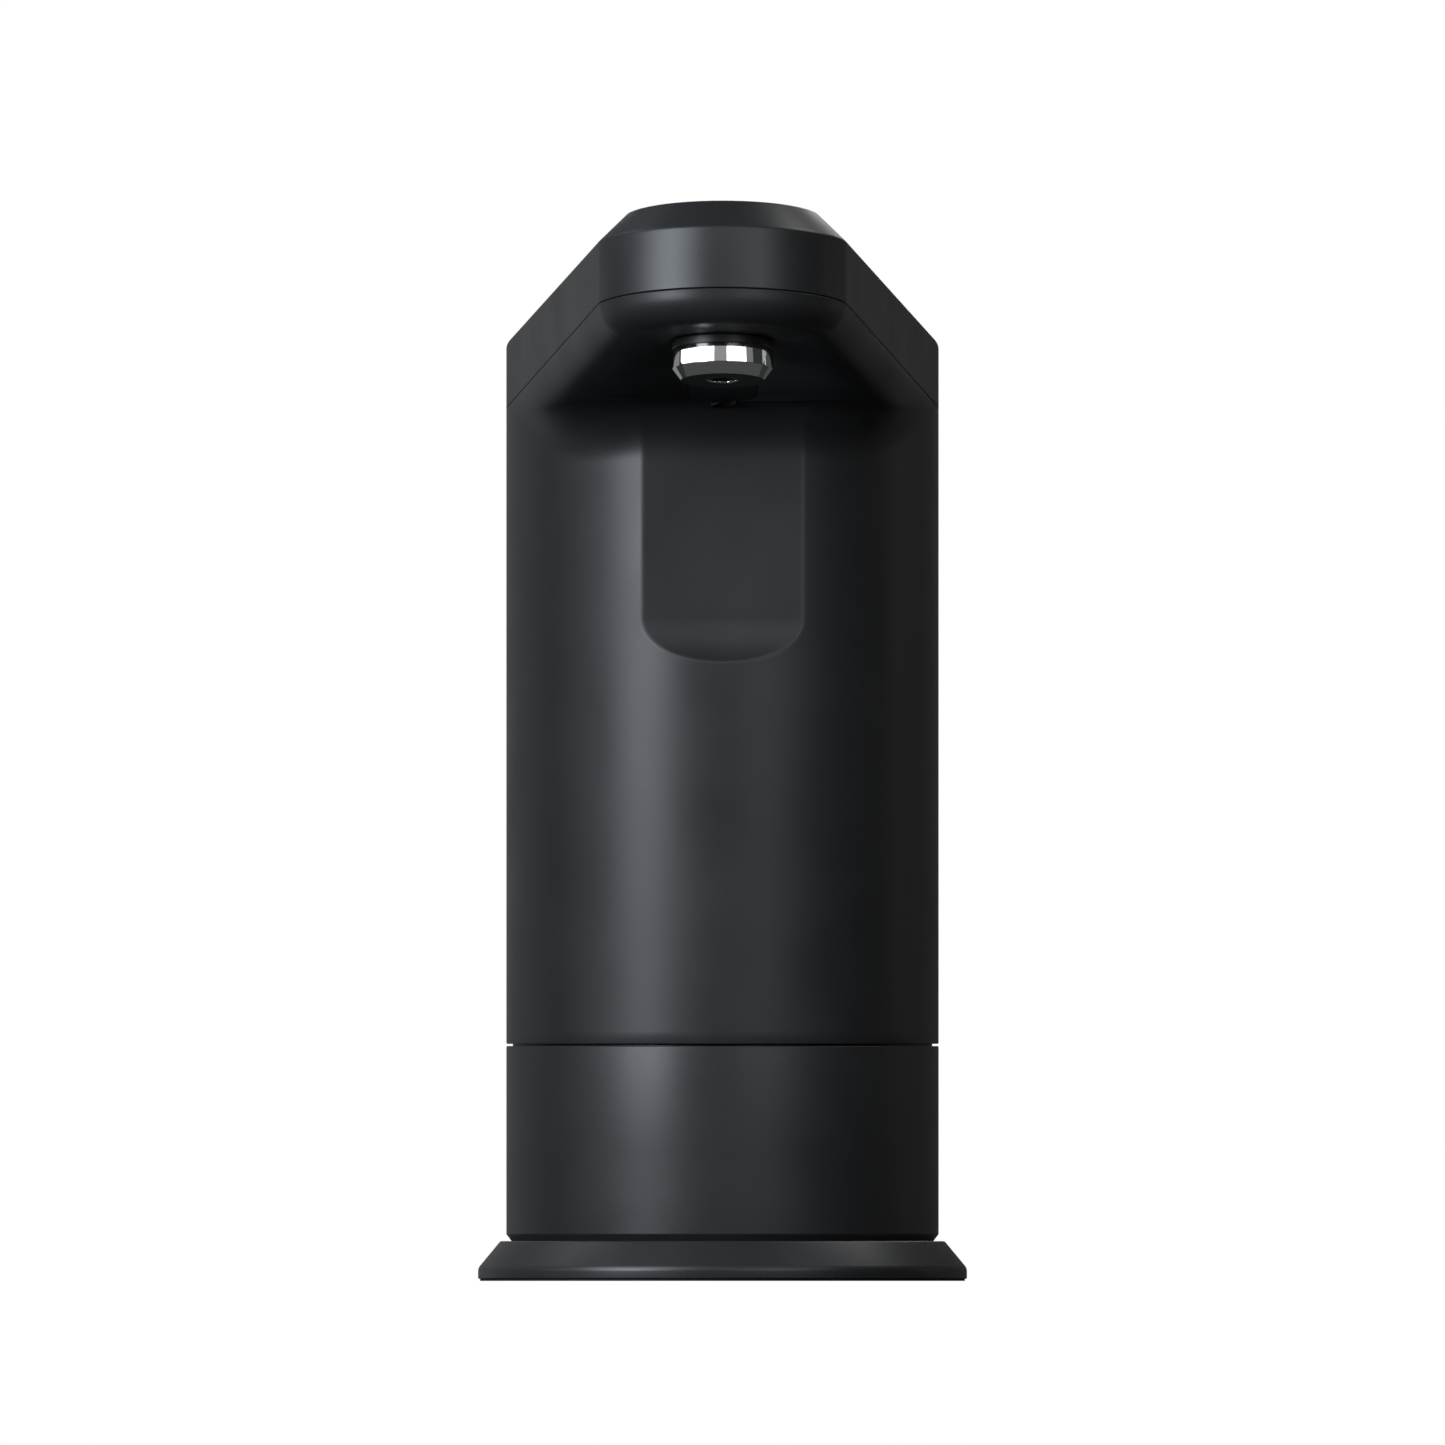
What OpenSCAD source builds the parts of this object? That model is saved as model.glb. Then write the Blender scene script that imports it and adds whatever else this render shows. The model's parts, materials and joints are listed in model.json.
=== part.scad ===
// Countertop soda carbonator: a round column on a long base plate, with a spout head that
// rises towards the front. Millimetres. The origin is on the column's axis, on the table.
// +Z is up and the front of the machine is -Y.

/* [Column] */
// Outer radius of the round column
column_r = 84; // [80:1:96]
// Height at which the column's axis meets the head's split plane
head_z = 338.2; // [325:0.1:380]
// Wall of the column
column_wall = 2.4; // [2:0.1:3]
// Wall of the lower housing
lower_wall = 3.5; // [3.2:0.1:4.5]
// Height of the seam between the lower housing and the column
seam_z = 91.7; // [88:0.1:105]
// Height of the open groove at the seam
seam_gap = 0.8; // [0.4:0.1:1.2]
// Depth of the open groove at the seam
seam_depth = 2.5; // [2:0.1:3]
// Inset of the small chamfer at the foot of the column
foot_chamfer = 2; // [1:0.1:3]

/* [Column recess] */
// Depth of the flat recess at the middle of the column's front
recess_depth = 6; // [4:0.5:8]
// Height at which the flat of the recess ends
recess_z = 257.6; // [240:0.1:280]
// Radius of the ramp that leads out of the recess
ramp_r = 27; // [18:1:36]

/* [Base plate] */
// Radius of both ends of the base plate
base_r = 95; // [90:1:115]
// Distance from the column's axis to the middle of the front end
base_reach = 175; // [120:1:200]
// Height of the base plate's top face
base_h = 15.5; // [14:0.5:20]
// Width of the bevel round the base plate
base_bevel_w = 8.7; // [5:0.1:12]
// Height of the bevel round the base plate
base_bevel_h = 10.5; // [7:0.1:12]
// Wall of the base plate
base_wall = 3; // [2:0.1:4]
// Height that the rubber foot ring stands proud below the base plate
pad_proud = 0.8; // [0.5:0.1:2]
// Thickness of the steel plate that closes the base
floor_t = 2; // [1.5:0.1:3]
// Width of the rubber foot ring
pad_w = 6; // [4:0.5:10]
// Radius of the rubber pad at the middle of the base
pad_r = 9; // [6:0.5:12]

/* [Drip grate] */
// Radius of the drip grate
grate_r = 46; // [36:1:52]
// Thickness of the drip grate
grate_t = 2; // [1.5:0.1:3]
// Distance from the column's axis to the middle of the drip grate
grate_y = 205; // [170:1:215]
// Depth of the drip dish below the base plate's top face
dish_depth = 9; // [6:0.5:9]
// Width of a slot in the drip grate
slot_w = 3; // [2:0.5:4]

/* [Head] */
// Angle at which the head rises towards the front, in degrees
head_tilt = 10; // [6:0.5:12]
// Radius of the head's round nose
nose_r = 50.5; // [46:0.5:56]
// Distance along the head from the column's axis to the middle of the nose
nose_reach = 225; // [200:1:240]
// Height of the head cover's upright side
band_h = 24.4; // [20:0.1:30]
// Height of the head cover's chamfer
chamfer_h = 12.3; // [8:0.1:14]
// Width of the head cover's chamfer
chamfer_w = 12.5; // [8:0.1:14]
// Depth of the lower head shell below the split plane
lower_h = 12.4; // [11:0.1:18]
// Wall of the head cover and of the lower head shell
head_wall = 2.6; // [2:0.1:3.2]
// Hairline gap between the head cover and the lower head shell
split_gap = 0.3; // [0.2:0.1:0.6]

/* [Nozzle] */
// Outer radius of the nozzle's ring
nozzle_r = 19.55; // [17:0.05:22]
// Height of the black collar above the ring
collar_h = 3.5; // [2:0.1:6]
// Height of the ring's upright side
ring_h = 7.6; // [5:0.1:12]
// Height of the chamfer at the foot of the ring
ring_chamfer_h = 4.4; // [3:0.1:6]
// Inset of the chamfer at the foot of the ring
ring_chamfer_w = 3.25; // [2:0.05:3.5]
// Outer radius of the metal outlet tube
outlet_r = 6.75; // [5:0.05:8]
// Bore radius of the metal outlet tube
outlet_bore_r = 5.4; // [3:0.1:6]

/* [Service cover] */
// Half width of the service cover under the head
service_r = 13.3; // [10:0.1:16]
// Distance along the head from the column's axis to the cover's rear end circle
service_end = 104; // [95:1:125]
// Thickness of the service cover
service_t = 2; // [1.5:0.1:3]

/* [Controls] */
// Distance along the head from the column's axis to the middle of the dial
dial_reach = 213; // [200:1:218]
// Outer radius of the dial
dial_r = 26; // [22:0.5:30]
// Height of the dial above the head's top face
dial_proud = 2.2; // [1:0.1:3]
// Radius of the push button inside the dial
button_r = 16.4; // [12:0.1:18]
// Travel of the push button
button_travel = 2.5; // [1:0.1:3]
// Radius of the push button's stem
stem_r = 4; // [3:0.1:5]

/* [Water tank] */
// Distance from the column's axis to the tank's flat front face
tank_y = 22.5; // [20:0.5:30]
// Height of the tank above its shelf
tank_h = 214; // [180:1:214]
// Wall of the tank
tank_wall = 2.4; // [2:0.1:3]
// Gap between the tank and its bay
tank_gap = 0.5; // [0.3:0.1:1]
// Radius of the tank's outlet spigot
spigot_r = 6; // [4:0.1:7]

/* [Gas cylinder] */
// Radius of the gas cylinder
cylinder_r = 30; // [26:0.5:31]
// Length of the gas cylinder below its valve
cylinder_h = 196; // [170:1:198]
// Distance from the column's axis forward to the gas cylinder's axis
cylinder_y = 13; // [12:0.5:18]
// Radius of the valve's threaded nose
thread_r = 10.4; // [9:0.1:12]

/* [Fits] */
// Radial clearance of a shaft that turns or slides in its bore
running = 0.05; // [0.02:0.01:0.1]
// Gap round a part that is set loosely into another
loose = 0.25; // [0.1:0.05:0.4]

/* [Hidden] */
$fn = 96;
hull_fn = 64;
far = 500;

// heights along the column
pad_inset = 0.8;
base_z0 = pad_proud;
lower_top = seam_z - seam_gap / 2;
column_z0 = seam_z + seam_gap / 2;
column_inner = column_r - column_wall;
lower_inner = column_r - lower_wall;
tongue_r = column_r - seam_depth;
tongue_wall = 2.5;
tongue_h = 7;
shelf_t = 2.5;
shelf_z = column_z0 + tongue_h + 2.4;
tank_z = shelf_z + tank_gap;
bay_top = tank_z + tank_h + tank_gap;
deck_t = 2.5;
bay_y = tank_y - tank_gap;
flat_y = column_r - recess_depth;
inner_flat_y = flat_y - column_wall;
ledge_t = 3;
chassis_z = base_h + ledge_t;
chassis_t = 2.5;
chassis_r = lower_inner - 1.5;

// heights in the head's own frame, measured from the split plane
top_w = band_h + chamfer_h;
slope = chamfer_w / chamfer_h;
flank_a = asin((column_r - nose_r) / nose_reach);
roof_in = head_wall * sqrt(1 + slope * slope);
under_w = -lower_h;
floor_w = under_w + head_wall;
pad_top = floor_w + 2.6;
ring_top = under_w - collar_h;
ring_low = ring_top - ring_h;
nozzle_w = ring_low - ring_chamfer_h;
face_r = nozzle_r - ring_chamfer_w - 0.35;
neck_r = nozzle_r - 2.6;
ceiling_w = top_w - head_wall;

// lower head shell: its round edge in two steps, its fillet to the column and its tongue
edge_w = 8.4;
edge_in = 3.6;
under_in = 11;
fillet = 17;
locator_low = -5;
locator_h = 8;
locator_wall = 1.6;

// dispensing valve above the nozzle
plunger_r = 5;
plunger_h = 7;
plunger_gap = 2;
valve_r = 14;
valve_floor = 3;

// controls
hub_r = dial_r - 4;
hub_len = 4;
well_depth = 1.5;
dial_low = top_w - well_depth + loose;
dial_top = top_w + dial_proud;
dial_bore = button_r + 0.6;
pod_r = dial_r + 3;
pod_wall = 2;
pod_low = 8;
guide_top = 22;
button_top = dial_top - 0.5;
button_t = 4;
stem_low = 16;
switch_top = stem_low - button_travel - 0.2;
valve_top = pod_low - 2;

// spring under the button
spring_r = 7;
spring_wire = 0.45;
spring_turns = 5;
spring_low = guide_top;
spring_high = button_top - button_t;

// tank and its outlet
tank_r = column_r;
lid_h = 8;
spigot_x = 55;
spigot_z = tank_z + 14;
spigot_len = 12;
socket_r = 10;
grip_w = 56;
grip_h = 20;
grip_depth = 14;
grip_z = tank_z + tank_h - 46;

// gas cylinder
cylinder_z = shelf_z + 0.3;
shoulder_h = 26;
neck_h = 6;
valve_z = cylinder_z + cylinder_h;
regulator_z = bay_top + deck_t;
thread_h = 12;

// pump, vessel and board in the lower housing
vessel_r = 23;
vessel_len = 88;
vessel_y = -30;
vessel_z = chassis_z + chassis_t + vessel_r + 3;
motor_r = 17;
motor_x0 = -60;
motor_x1 = -8;
pump_y = 28;
pump_z = chassis_z + chassis_t + motor_r + 3;
pump_len = 32;
shaft_r = 2.5;
board_z = chassis_z + 59;

// socket for the power lead, in the lower housing's rear
inlet_y = 60;
inlet_z = 34;
inlet_w = 26;
inlet_h = 17;
inlet_wall = 4;
inlet_wall_z = 3;
inlet_back = 2;

// screws
screw_r = 1.5;
screw_head_r = 3;
screw_head_t = 1.2;
post_r = 4.2;
post_v = [-122, -175];

// ---------- the head's frame: w runs square to the split plane, v along the head ----------
module in_head() {
    translate([0, 0, head_z]) rotate([-head_tilt, 0, 0]) children();
}

// A point [x, v, w] of the head's frame in the part's frame
function head_point(p) = [p[0],
    p[1] * cos(head_tilt) + p[2] * sin(head_tilt),
    head_z - p[1] * sin(head_tilt) + p[2] * cos(head_tilt)];

// Everything between two planes parallel to the split plane
module head_slab(w0, w1) {
    in_head() translate([-far / 2, -far, w0]) cube([far, far * 2, w1 - w0]);
}

// Nose circle and straight flanks, as they lie in the split plane
module flank_outline(inset) {
    nr = nose_r - inset;
    cr = column_r - inset;
    translate([0, -nose_reach]) circle(r = nr);
    polygon([
        [nr * cos(flank_a), -nose_reach - nr * sin(flank_a)],
        [cr * cos(flank_a), -cr * sin(flank_a)],
        [cr * cos(flank_a) * 0.9, 0],
        [-cr * cos(flank_a) * 0.9, 0],
        [-cr * cos(flank_a), -cr * sin(flank_a)],
        [-nr * cos(flank_a), -nose_reach - nr * sin(flank_a)]]);
}

// Head shape with upright walls: the flanks stand square to the split plane and the rear
// follows the column
module head_prism(inset) {
    translate([0, 0, head_z - 60]) cylinder(r = column_r - inset, h = 140);
    in_head() translate([0, 0, -lower_h - 30]) linear_extrude(100) flank_outline(inset);
}

// Tapered block of the head between two heights, inset by in0 below and in1 above
module head_taper(w0, w1, in0, in1, rear) {
    in_head() hull() {
        translate([0, -nose_reach, w0])
            cylinder(h = w1 - w0, r1 = nose_r - in0, r2 = nose_r - in1, $fn = hull_fn);
        translate([0, -w0 * tan(head_tilt), w0])
            cylinder(h = w1 - w0, r1 = rear - in0, r2 = rear - in1, $fn = hull_fn);
    }
}

// Smooth tube along hand-placed points
function spline(a, b, c, d, t) = 0.5 * ((2 * b) + (c - a) * t
    + (2 * a - 5 * b + 4 * c - d) * t * t + (3 * b - a - 3 * c + d) * t * t * t);
function path(pts, n) = [for (i = [0:len(pts) - 2]) for (k = [0:n - 1])
    spline(pts[max(i - 1, 0)], pts[i], pts[i + 1], pts[min(i + 2, len(pts) - 1)], k / n),
    pts[len(pts) - 1]];
function unit(v) = v / norm(v);

module tube_along(pts, r, n = 4, sides = 10) {
    line = path(pts, n);
    m = len(line);
    dirs = [for (i = [0:m - 1]) unit(line[min(i + 1, m - 1)] - line[max(i - 1, 0)])];
    side = [for (i = [0:m - 1]) unit(cross(dirs[i], abs(dirs[i][0]) < 0.9 ? [1, 0, 0] : [0, 1, 0]))];
    rings = [for (i = [0:m - 1]) for (j = [0:sides - 1])
        line[i] + r * (cos(360 * j / sides) * side[i]
            + sin(360 * j / sides) * cross(dirs[i], side[i]))];
    walls = [for (i = [0:m - 2]) for (j = [0:sides - 1])
        [i * sides + j, (i + 1) * sides + j,
         (i + 1) * sides + (j + 1) % sides, i * sides + (j + 1) % sides]];
    polyhedron(rings, concat(walls, [[for (j = [0:sides - 1]) j]],
        [[for (j = [sides - 1:-1:0]) (m - 1) * sides + j]]), convexity = 6);
}

// ---------- base ----------
// Base outline with straight sides, inset all round
module base_outline(inset) {
    circle(r = base_r - inset);
    translate([0, -base_reach]) circle(r = base_r - inset);
    translate([inset - base_r, -base_reach]) square([2 * (base_r - inset), base_reach]);
}

// Bevelled solid of the base: round ends with cones and straight sides between them
module base_solid(inset, z0, z1) {
    edge_z = base_h - base_bevel_h;
    profile = [[0, z0], [base_r - inset, z0], [base_r - inset, edge_z],
        [base_r - base_bevel_w - inset, z1], [0, z1]];
    for (y = [0, -base_reach]) translate([0, y, 0]) rotate_extrude() polygon(profile);
    for (side = [0, 1]) mirror([side, 0, 0]) rotate([90, 0, 0])
        linear_extrude(base_reach) polygon(profile);
}

screw_spots = [[58, 44], [-58, 44], [58, -44], [-58, -44]];

module base_plate() {
    dish_wall = base_wall - 1;
    color([0.12, 0.125, 0.13]) difference() {
        union() {
            difference() {
                base_solid(0, base_z0, base_h);
                base_solid(base_wall, base_z0 - 1, base_h - base_wall);
            }
            translate([0, -grate_y, base_z0 + floor_t])
                cylinder(r = grate_r + base_wall, h = base_h - base_z0 - floor_t - 1);
            for (p = screw_spots) translate([p[0], p[1], base_z0 + floor_t])
                cylinder(r = 6, h = base_h - base_z0 - floor_t - 1);
        }
        translate([0, -grate_y, base_h - grate_t]) cylinder(r = grate_r + loose, h = far);
        translate([0, -grate_y, base_h - dish_depth]) cylinder(r = grate_r - 3, h = far);
        translate([0, -grate_y, base_z0])
            cylinder(r = grate_r - 3, h = base_h - dish_depth - dish_wall - base_z0);
        for (p = screw_spots) translate([p[0], p[1], 0]) cylinder(r = screw_r + loose, h = far);
    }
}

module base_floor() {
    color("silver") difference() {
        translate([0, 0, base_z0]) linear_extrude(floor_t) base_outline(base_wall + loose);
        for (p = screw_spots) translate([p[0], p[1], 0])
            cylinder(r = screw_head_r + loose, h = far);
    }
}

// Rubber ring that follows the base's outline, and a pad under the column
module base_pads() {
    color([0.05, 0.05, 0.05]) {
        linear_extrude(pad_proud) difference() {
            base_outline(pad_inset);
            base_outline(pad_inset + pad_w);
        }
        cylinder(r = pad_r, h = pad_proud);
    }
}

module base_screws() {
    color("silver") for (p = screw_spots) translate([p[0], p[1], base_z0]) {
        cylinder(r = screw_head_r, h = floor_t);
        cylinder(r = screw_r, h = base_h + ledge_t + 1 - base_z0);
    }
}

module drip_grate() {
    slots = floor((grate_r - 8) / (2 * slot_w));
    color("silver") translate([0, -grate_y, base_h - grate_t]) difference() {
        cylinder(r = grate_r, h = grate_t);
        for (i = [-slots:slots]) {
            reach = sqrt(pow(grate_r - 6, 2) - pow(i * 2 * slot_w, 2)) - slot_w;
            translate([i * 2 * slot_w - slot_w / 2, -reach, -1])
                cube([slot_w, 2 * reach, grate_t + 2]);
        }
    }
}

// ---------- column ----------
module lower_housing() {
    color([0.14, 0.145, 0.15]) difference() {
        union() {
            difference() {
                translate([0, 0, base_h]) rotate_extrude() polygon([
                    [0, 0], [column_r - foot_chamfer, 0],
                    [column_r, foot_chamfer + 0.7], [column_r, lower_top - base_h],
                    [0, lower_top - base_h]]);
                translate([0, 0, base_h + ledge_t]) cylinder(r = lower_inner, h = far);
                translate([0, 0, base_h - 1]) cylinder(r = lower_inner - 11, h = ledge_t + 2);
            }
            difference() {
                translate([0, 0, lower_top - tongue_h]) cylinder(r = tongue_r, h = tongue_h * 2);
                translate([0, 0, lower_top - tongue_h - 1])
                    cylinder(r = tongue_r - tongue_wall, h = tongue_h * 2 + 2);
            }
            for (p = screw_spots) translate([p[0], p[1], base_h])
                cylinder(r = 5, h = ledge_t);
        }
        inlet_shape(loose);
        for (p = screw_spots) translate([p[0], p[1], base_h - 1])
            cylinder(r = screw_r, h = ledge_t + 2);
    }
}

// Space that the recess takes out of the column's front
module recess_cut(depth_y) {
    top = head_z - lower_h;
    translate([-column_r, -column_r - far, recess_z])
        cube([2 * column_r, column_r + far - depth_y, top - recess_z]);
    translate([-column_r, -depth_y - ramp_r, recess_z]) rotate([0, 90, 0])
        cylinder(r = ramp_r, h = 2 * column_r);
}

module column_housing() {
    color([0.14, 0.145, 0.15]) difference() {
        union() {
            difference() {
                column_solid();
                column_hollow();
                // hollow of the lower head shell
                head_taper(floor_w, 1, under_in - 1.8, head_wall, column_r - 0.4);
                difference() {
                    recess_cut(flat_y);
                    in_head() translate([0, 0, under_w - 14]) linear_extrude(far)
                        flank_outline(-10);
                }
                bay_cut();
                at_nozzle() translate([0, 0, -far / 2])
                    cylinder(r = neck_r + running, h = far);
            }
            in_head() {
                // pad over the service cover's pocket
                translate([0, 0, under_w]) linear_extrude(pad_top - under_w) difference() {
                    service_outline(service_r + 2);
                    translate([0, -nose_reach]) circle(r = nozzle_r);
                }
                // tongue that locates the head cover
                translate([0, 0, locator_low]) linear_extrude(locator_h) difference() {
                    tongue_outline(head_wall + loose);
                    tongue_outline(head_wall + loose + locator_wall);
                }
            }
        }
        in_head() {
            translate([0, 0, under_w - 1]) linear_extrude(service_t + 1)
                service_outline(service_r + loose);
            for (v = post_v) translate([0, v, -far / 2]) cylinder(r = screw_r + loose, h = far);
            for (v = post_v) translate([0, v, under_w])
                cylinder(r = screw_head_r + loose, h = service_t + screw_head_t);
        }
    }
}

// Outside of the column and the lower head shell, with the fillet between them
module column_solid() {
    intersection() {
        translate([0, 0, column_z0]) cylinder(r = column_r, h = far);
        head_slab(-far, -split_gap / 2);
    }
    head_taper(-edge_w, -split_gap / 2, edge_in, 0, column_r - 0.4);
    head_taper(under_w, -edge_w, under_in, edge_in, column_r - 0.4);
    intersection() {
        in_head() hull() {
            translate([0, (lower_h + fillet) * tan(head_tilt), under_w - fillet])
                cylinder(r = column_r - 0.6, h = 0.1, $fn = hull_fn);
            translate([0, lower_h * tan(head_tilt), under_w])
                cylinder(r = column_r + fillet, h = 0.1, $fn = hull_fn);
        }
        head_prism(9);
    }
}

// Hollow of the column, with a flat behind the recess
module column_hollow() {
    difference() {
        translate([0, 0, column_z0 - 1]) cylinder(r = column_inner, h = far);
        recess_cut(inner_flat_y);
        translate([-column_r, -column_r - far, head_z - lower_h - 1])
            cube([2 * column_r, far + column_r - inner_flat_y, far]);
    }
}

// Nose and flanks only, open to the column
module tongue_outline(inset) {
    intersection() {
        flank_outline(inset);
        translate([-far / 2, -far]) square([far, far - column_r - 12]);
    }
}

// Opening for the water tank at the rear
module bay_cut() {
    translate([-far / 2, bay_y, shelf_z]) cube([far, far, bay_top - shelf_z]);
}

// Outline of the service cover, from the middle of the nozzle to the cover's round end
module service_outline(r) {
    translate([0, -service_end]) circle(r = r);
    translate([-r, -nose_reach]) square([2 * r, nose_reach - service_end]);
}

module bay_liner() {
    rear = column_inner - loose;
    color([0.2, 0.2, 0.21]) difference() {
        union() {
            translate([0, 0, shelf_z - shelf_t]) cylinder(r = rear, h = shelf_t);
            intersection() {
                translate([0, 0, bay_top]) cylinder(r = rear, h = deck_t);
                translate([-far / 2, -inner_flat_y + loose, 0]) cube([far, far, far]);
            }
            intersection() {
                translate([0, 0, shelf_z - shelf_t])
                    cylinder(r = rear, h = bay_top - shelf_z + shelf_t + 1);
                translate([-far / 2, bay_y - shelf_t, 0]) cube([far, shelf_t, far]);
            }
        }
        // window to the gas cylinder
        translate([-cylinder_r - 3, bay_y - shelf_t - 1, shelf_z + 2])
            cube([2 * cylinder_r + 6, shelf_t + 2, bay_top - shelf_z - 4]);
        // hole for the gas cylinder's valve
        translate([0, -cylinder_y, bay_top - 1]) cylinder(r = thread_r + 6, h = deck_t + 2);
        // hole for the tank's spigot
        translate([spigot_x, 0, spigot_z]) rotate([-90, 0, 0]) cylinder(r = spigot_r + 2, h = 60);
        // holes for the hoses
        for (p = hose_holes) translate([p[0], p[1], 0]) cylinder(r = 6, h = far);
    }
}

module chassis() {
    posts = [[-50, 6], [-50, 49.5], [-2, 6], [-2, 49.5]];
    color([0.25, 0.25, 0.26]) difference() {
        union() {
            translate([0, 0, chassis_z]) cylinder(r = chassis_r, h = chassis_t);
            for (x = [-32, 26]) translate([x, vessel_y - 20, chassis_z + chassis_t])
                cube([6, 40, vessel_r]);
            for (x = [-52, -22]) translate([x, pump_y - 15, chassis_z + chassis_t])
                cube([6, 30, motor_r]);
            translate([0, pump_y - 14, chassis_z + chassis_t])
                cube([16, 28, pump_z - 18 - chassis_z - chassis_t]);
            for (p = posts) translate([p[0], p[1], chassis_z])
                cylinder(r = 2.5, h = board_z - chassis_z);
        }
        translate([0, vessel_y, vessel_z]) rotate([0, 90, 0])
            cylinder(r = vessel_r, h = far, center = true);
        translate([0, pump_y, pump_z]) rotate([0, 90, 0])
            cylinder(r = motor_r, h = far, center = true);
        for (p = screw_spots) translate([p[0], p[1], chassis_z - 1]) cylinder(r = 3, h = 10);
    }
}

// ---------- head ----------
module head_cover() {
    roof_rear = column_r / cos(head_tilt);
    color([0.15, 0.155, 0.16]) difference() {
        union() {
            difference() {
                intersection() {
                    head_prism(0);
                    union() {
                        head_slab(split_gap / 2, band_h - 1.9);
                        head_taper(band_h - 2, top_w, -2 * slope, chamfer_w, roof_rear);
                    }
                }
                intersection() {
                    head_prism(head_wall);
                    union() {
                        head_slab(-1, band_h - 2);
                        head_taper(band_h - 2.1, ceiling_w, roof_in - 2.1 * slope,
                            roof_in + (ceiling_w - band_h) * slope, roof_rear);
                    }
                }
            }
            in_head() for (v = post_v) translate([0, v, pad_top])
                cylinder(r = post_r, h = ceiling_w - pad_top + 1);
        }
        in_head() {
            for (v = post_v) translate([0, v, -far / 2]) cylinder(r = screw_r, h = far / 2 + 12);
            translate([0, -dial_reach, 0]) cylinder(r = hub_r + running, h = far);
            translate([0, -dial_reach, top_w - well_depth])
                cylinder(r = dial_r + loose * 2, h = far);
        }
    }
}

module cover_screws() {
    color("silver") in_head() for (v = post_v) translate([0, v, under_w + service_t]) {
        cylinder(r = screw_head_r, h = screw_head_t);
        cylinder(r = screw_r, h = 18);
    }
}

module service_cover() {
    color([0.13, 0.135, 0.14]) in_head() translate([0, 0, under_w])
        linear_extrude(service_t) difference() {
            service_outline(service_r);
            translate([0, -nose_reach]) circle(r = nozzle_r + loose);
        }
}

// ---------- nozzle ----------
module at_nozzle() {
    in_head() translate([0, -nose_reach, 0]) children();
}

module nozzle_collar() {
    color([0.08, 0.08, 0.085]) at_nozzle() difference() {
        union() {
            translate([0, 0, ring_top]) cylinder(r = nozzle_r, h = collar_h);
            translate([0, 0, ring_top]) cylinder(r = neck_r, h = floor_w - ring_top);
        }
        translate([0, 0, ring_top - 1]) cylinder(r = outlet_r + 2, h = far);
    }
}

module nozzle_ring() {
    color("gainsboro") at_nozzle() rotate_extrude() polygon([
        [face_r + running, nozzle_w], [nozzle_r - ring_chamfer_w, nozzle_w],
        [nozzle_r, ring_low], [nozzle_r, ring_top], [face_r + running, ring_top]]);
}

module nozzle_face() {
    color([0.06, 0.06, 0.065]) at_nozzle() translate([0, 0, nozzle_w]) difference() {
        cylinder(r = face_r, h = ring_top - nozzle_w);
        translate([0, 0, -1]) cylinder(r = outlet_r, h = far);
    }
}

module nozzle_tube() {
    color("silver") at_nozzle() translate([0, 0, nozzle_w + 0.5]) difference() {
        cylinder(r = outlet_r, h = floor_w - nozzle_w - 0.5);
        translate([0, 0, -1]) cylinder(r = outlet_bore_r, h = far);
    }
}

module dispense_valve() {
    cavity = plunger_h + plunger_gap;
    color([0.3, 0.3, 0.32]) at_nozzle() difference() {
        translate([0, 0, floor_w]) cylinder(r = valve_r, h = valve_top - floor_w);
        translate([0, 0, floor_w + valve_floor]) cylinder(r = plunger_r + running, h = cavity);
        translate([0, 0, floor_w - 1]) cylinder(r = outlet_bore_r - 1, h = valve_floor + 2);
    }
}

module valve_plunger() {
    color("silver") at_nozzle() translate([0, 0, floor_w + valve_floor + 0.02])
        cylinder(r = plunger_r, h = plunger_h);
}

// ---------- controls ----------
module at_dial() {
    in_head() translate([0, -dial_reach, 0]) children();
}

module control_pod() {
    color([0.2, 0.2, 0.21]) at_dial() difference() {
        union() {
            difference() {
                translate([0, 0, pod_low]) cylinder(r = pod_r, h = ceiling_w - pod_low);
                translate([0, 0, pod_low + pod_wall]) cylinder(r = pod_r - pod_wall, h = far);
            }
            translate([0, 0, pod_low]) cylinder(r = spring_r + 1.5, h = guide_top - pod_low);
        }
        translate([0, 0, pod_low - 1]) cylinder(r = stem_r + running, h = far);
        translate([-5.2, -3.4, pod_low - 1]) cube([10.4, 6.8, switch_top - pod_low + 1.2]);
    }
}

module level_dial() {
    color("gainsboro") at_dial() difference() {
        union() {
            translate([0, 0, dial_low]) cylinder(r = dial_r, h = dial_top - dial_low);
            translate([0, 0, ceiling_w - hub_len])
                cylinder(r = hub_r, h = dial_low - ceiling_w + hub_len);
        }
        translate([0, 0, ceiling_w - hub_len - 1]) cylinder(r = dial_bore, h = far);
        translate([0, 0, ceiling_w - 2]) clip_ring(hub_r - 0.8, hub_r + 2);
    }
}

module clip_ring(inner, outer) {
    difference() {
        cylinder(r = outer, h = 1.2);
        translate([0, 0, -1]) cylinder(r = inner, h = 4);
    }
}

module dial_clip() {
    color("silver") at_dial() translate([0, 0, ceiling_w - 2])
        clip_ring(hub_r - 0.8, hub_r + 1.8);
}

module dispense_button() {
    color([0.1, 0.1, 0.105]) at_dial() {
        translate([0, 0, button_top - button_t]) cylinder(r = button_r, h = button_t);
        translate([0, 0, stem_low]) cylinder(r = stem_r, h = button_top - button_t - stem_low + 1);
    }
}

module button_spring() {
    steps = 12;
    turns = [for (i = [0:spring_turns * steps]) let (a = 360 * i / steps)
        [(spring_r - spring_wire) * cos(a), (spring_r - spring_wire) * sin(a),
         spring_low + spring_wire
            + (spring_high - spring_low - 2 * spring_wire) * i / (spring_turns * steps)]];
    color("silver") at_dial() tube_along(turns, spring_wire, 1, 8);
}

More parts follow.
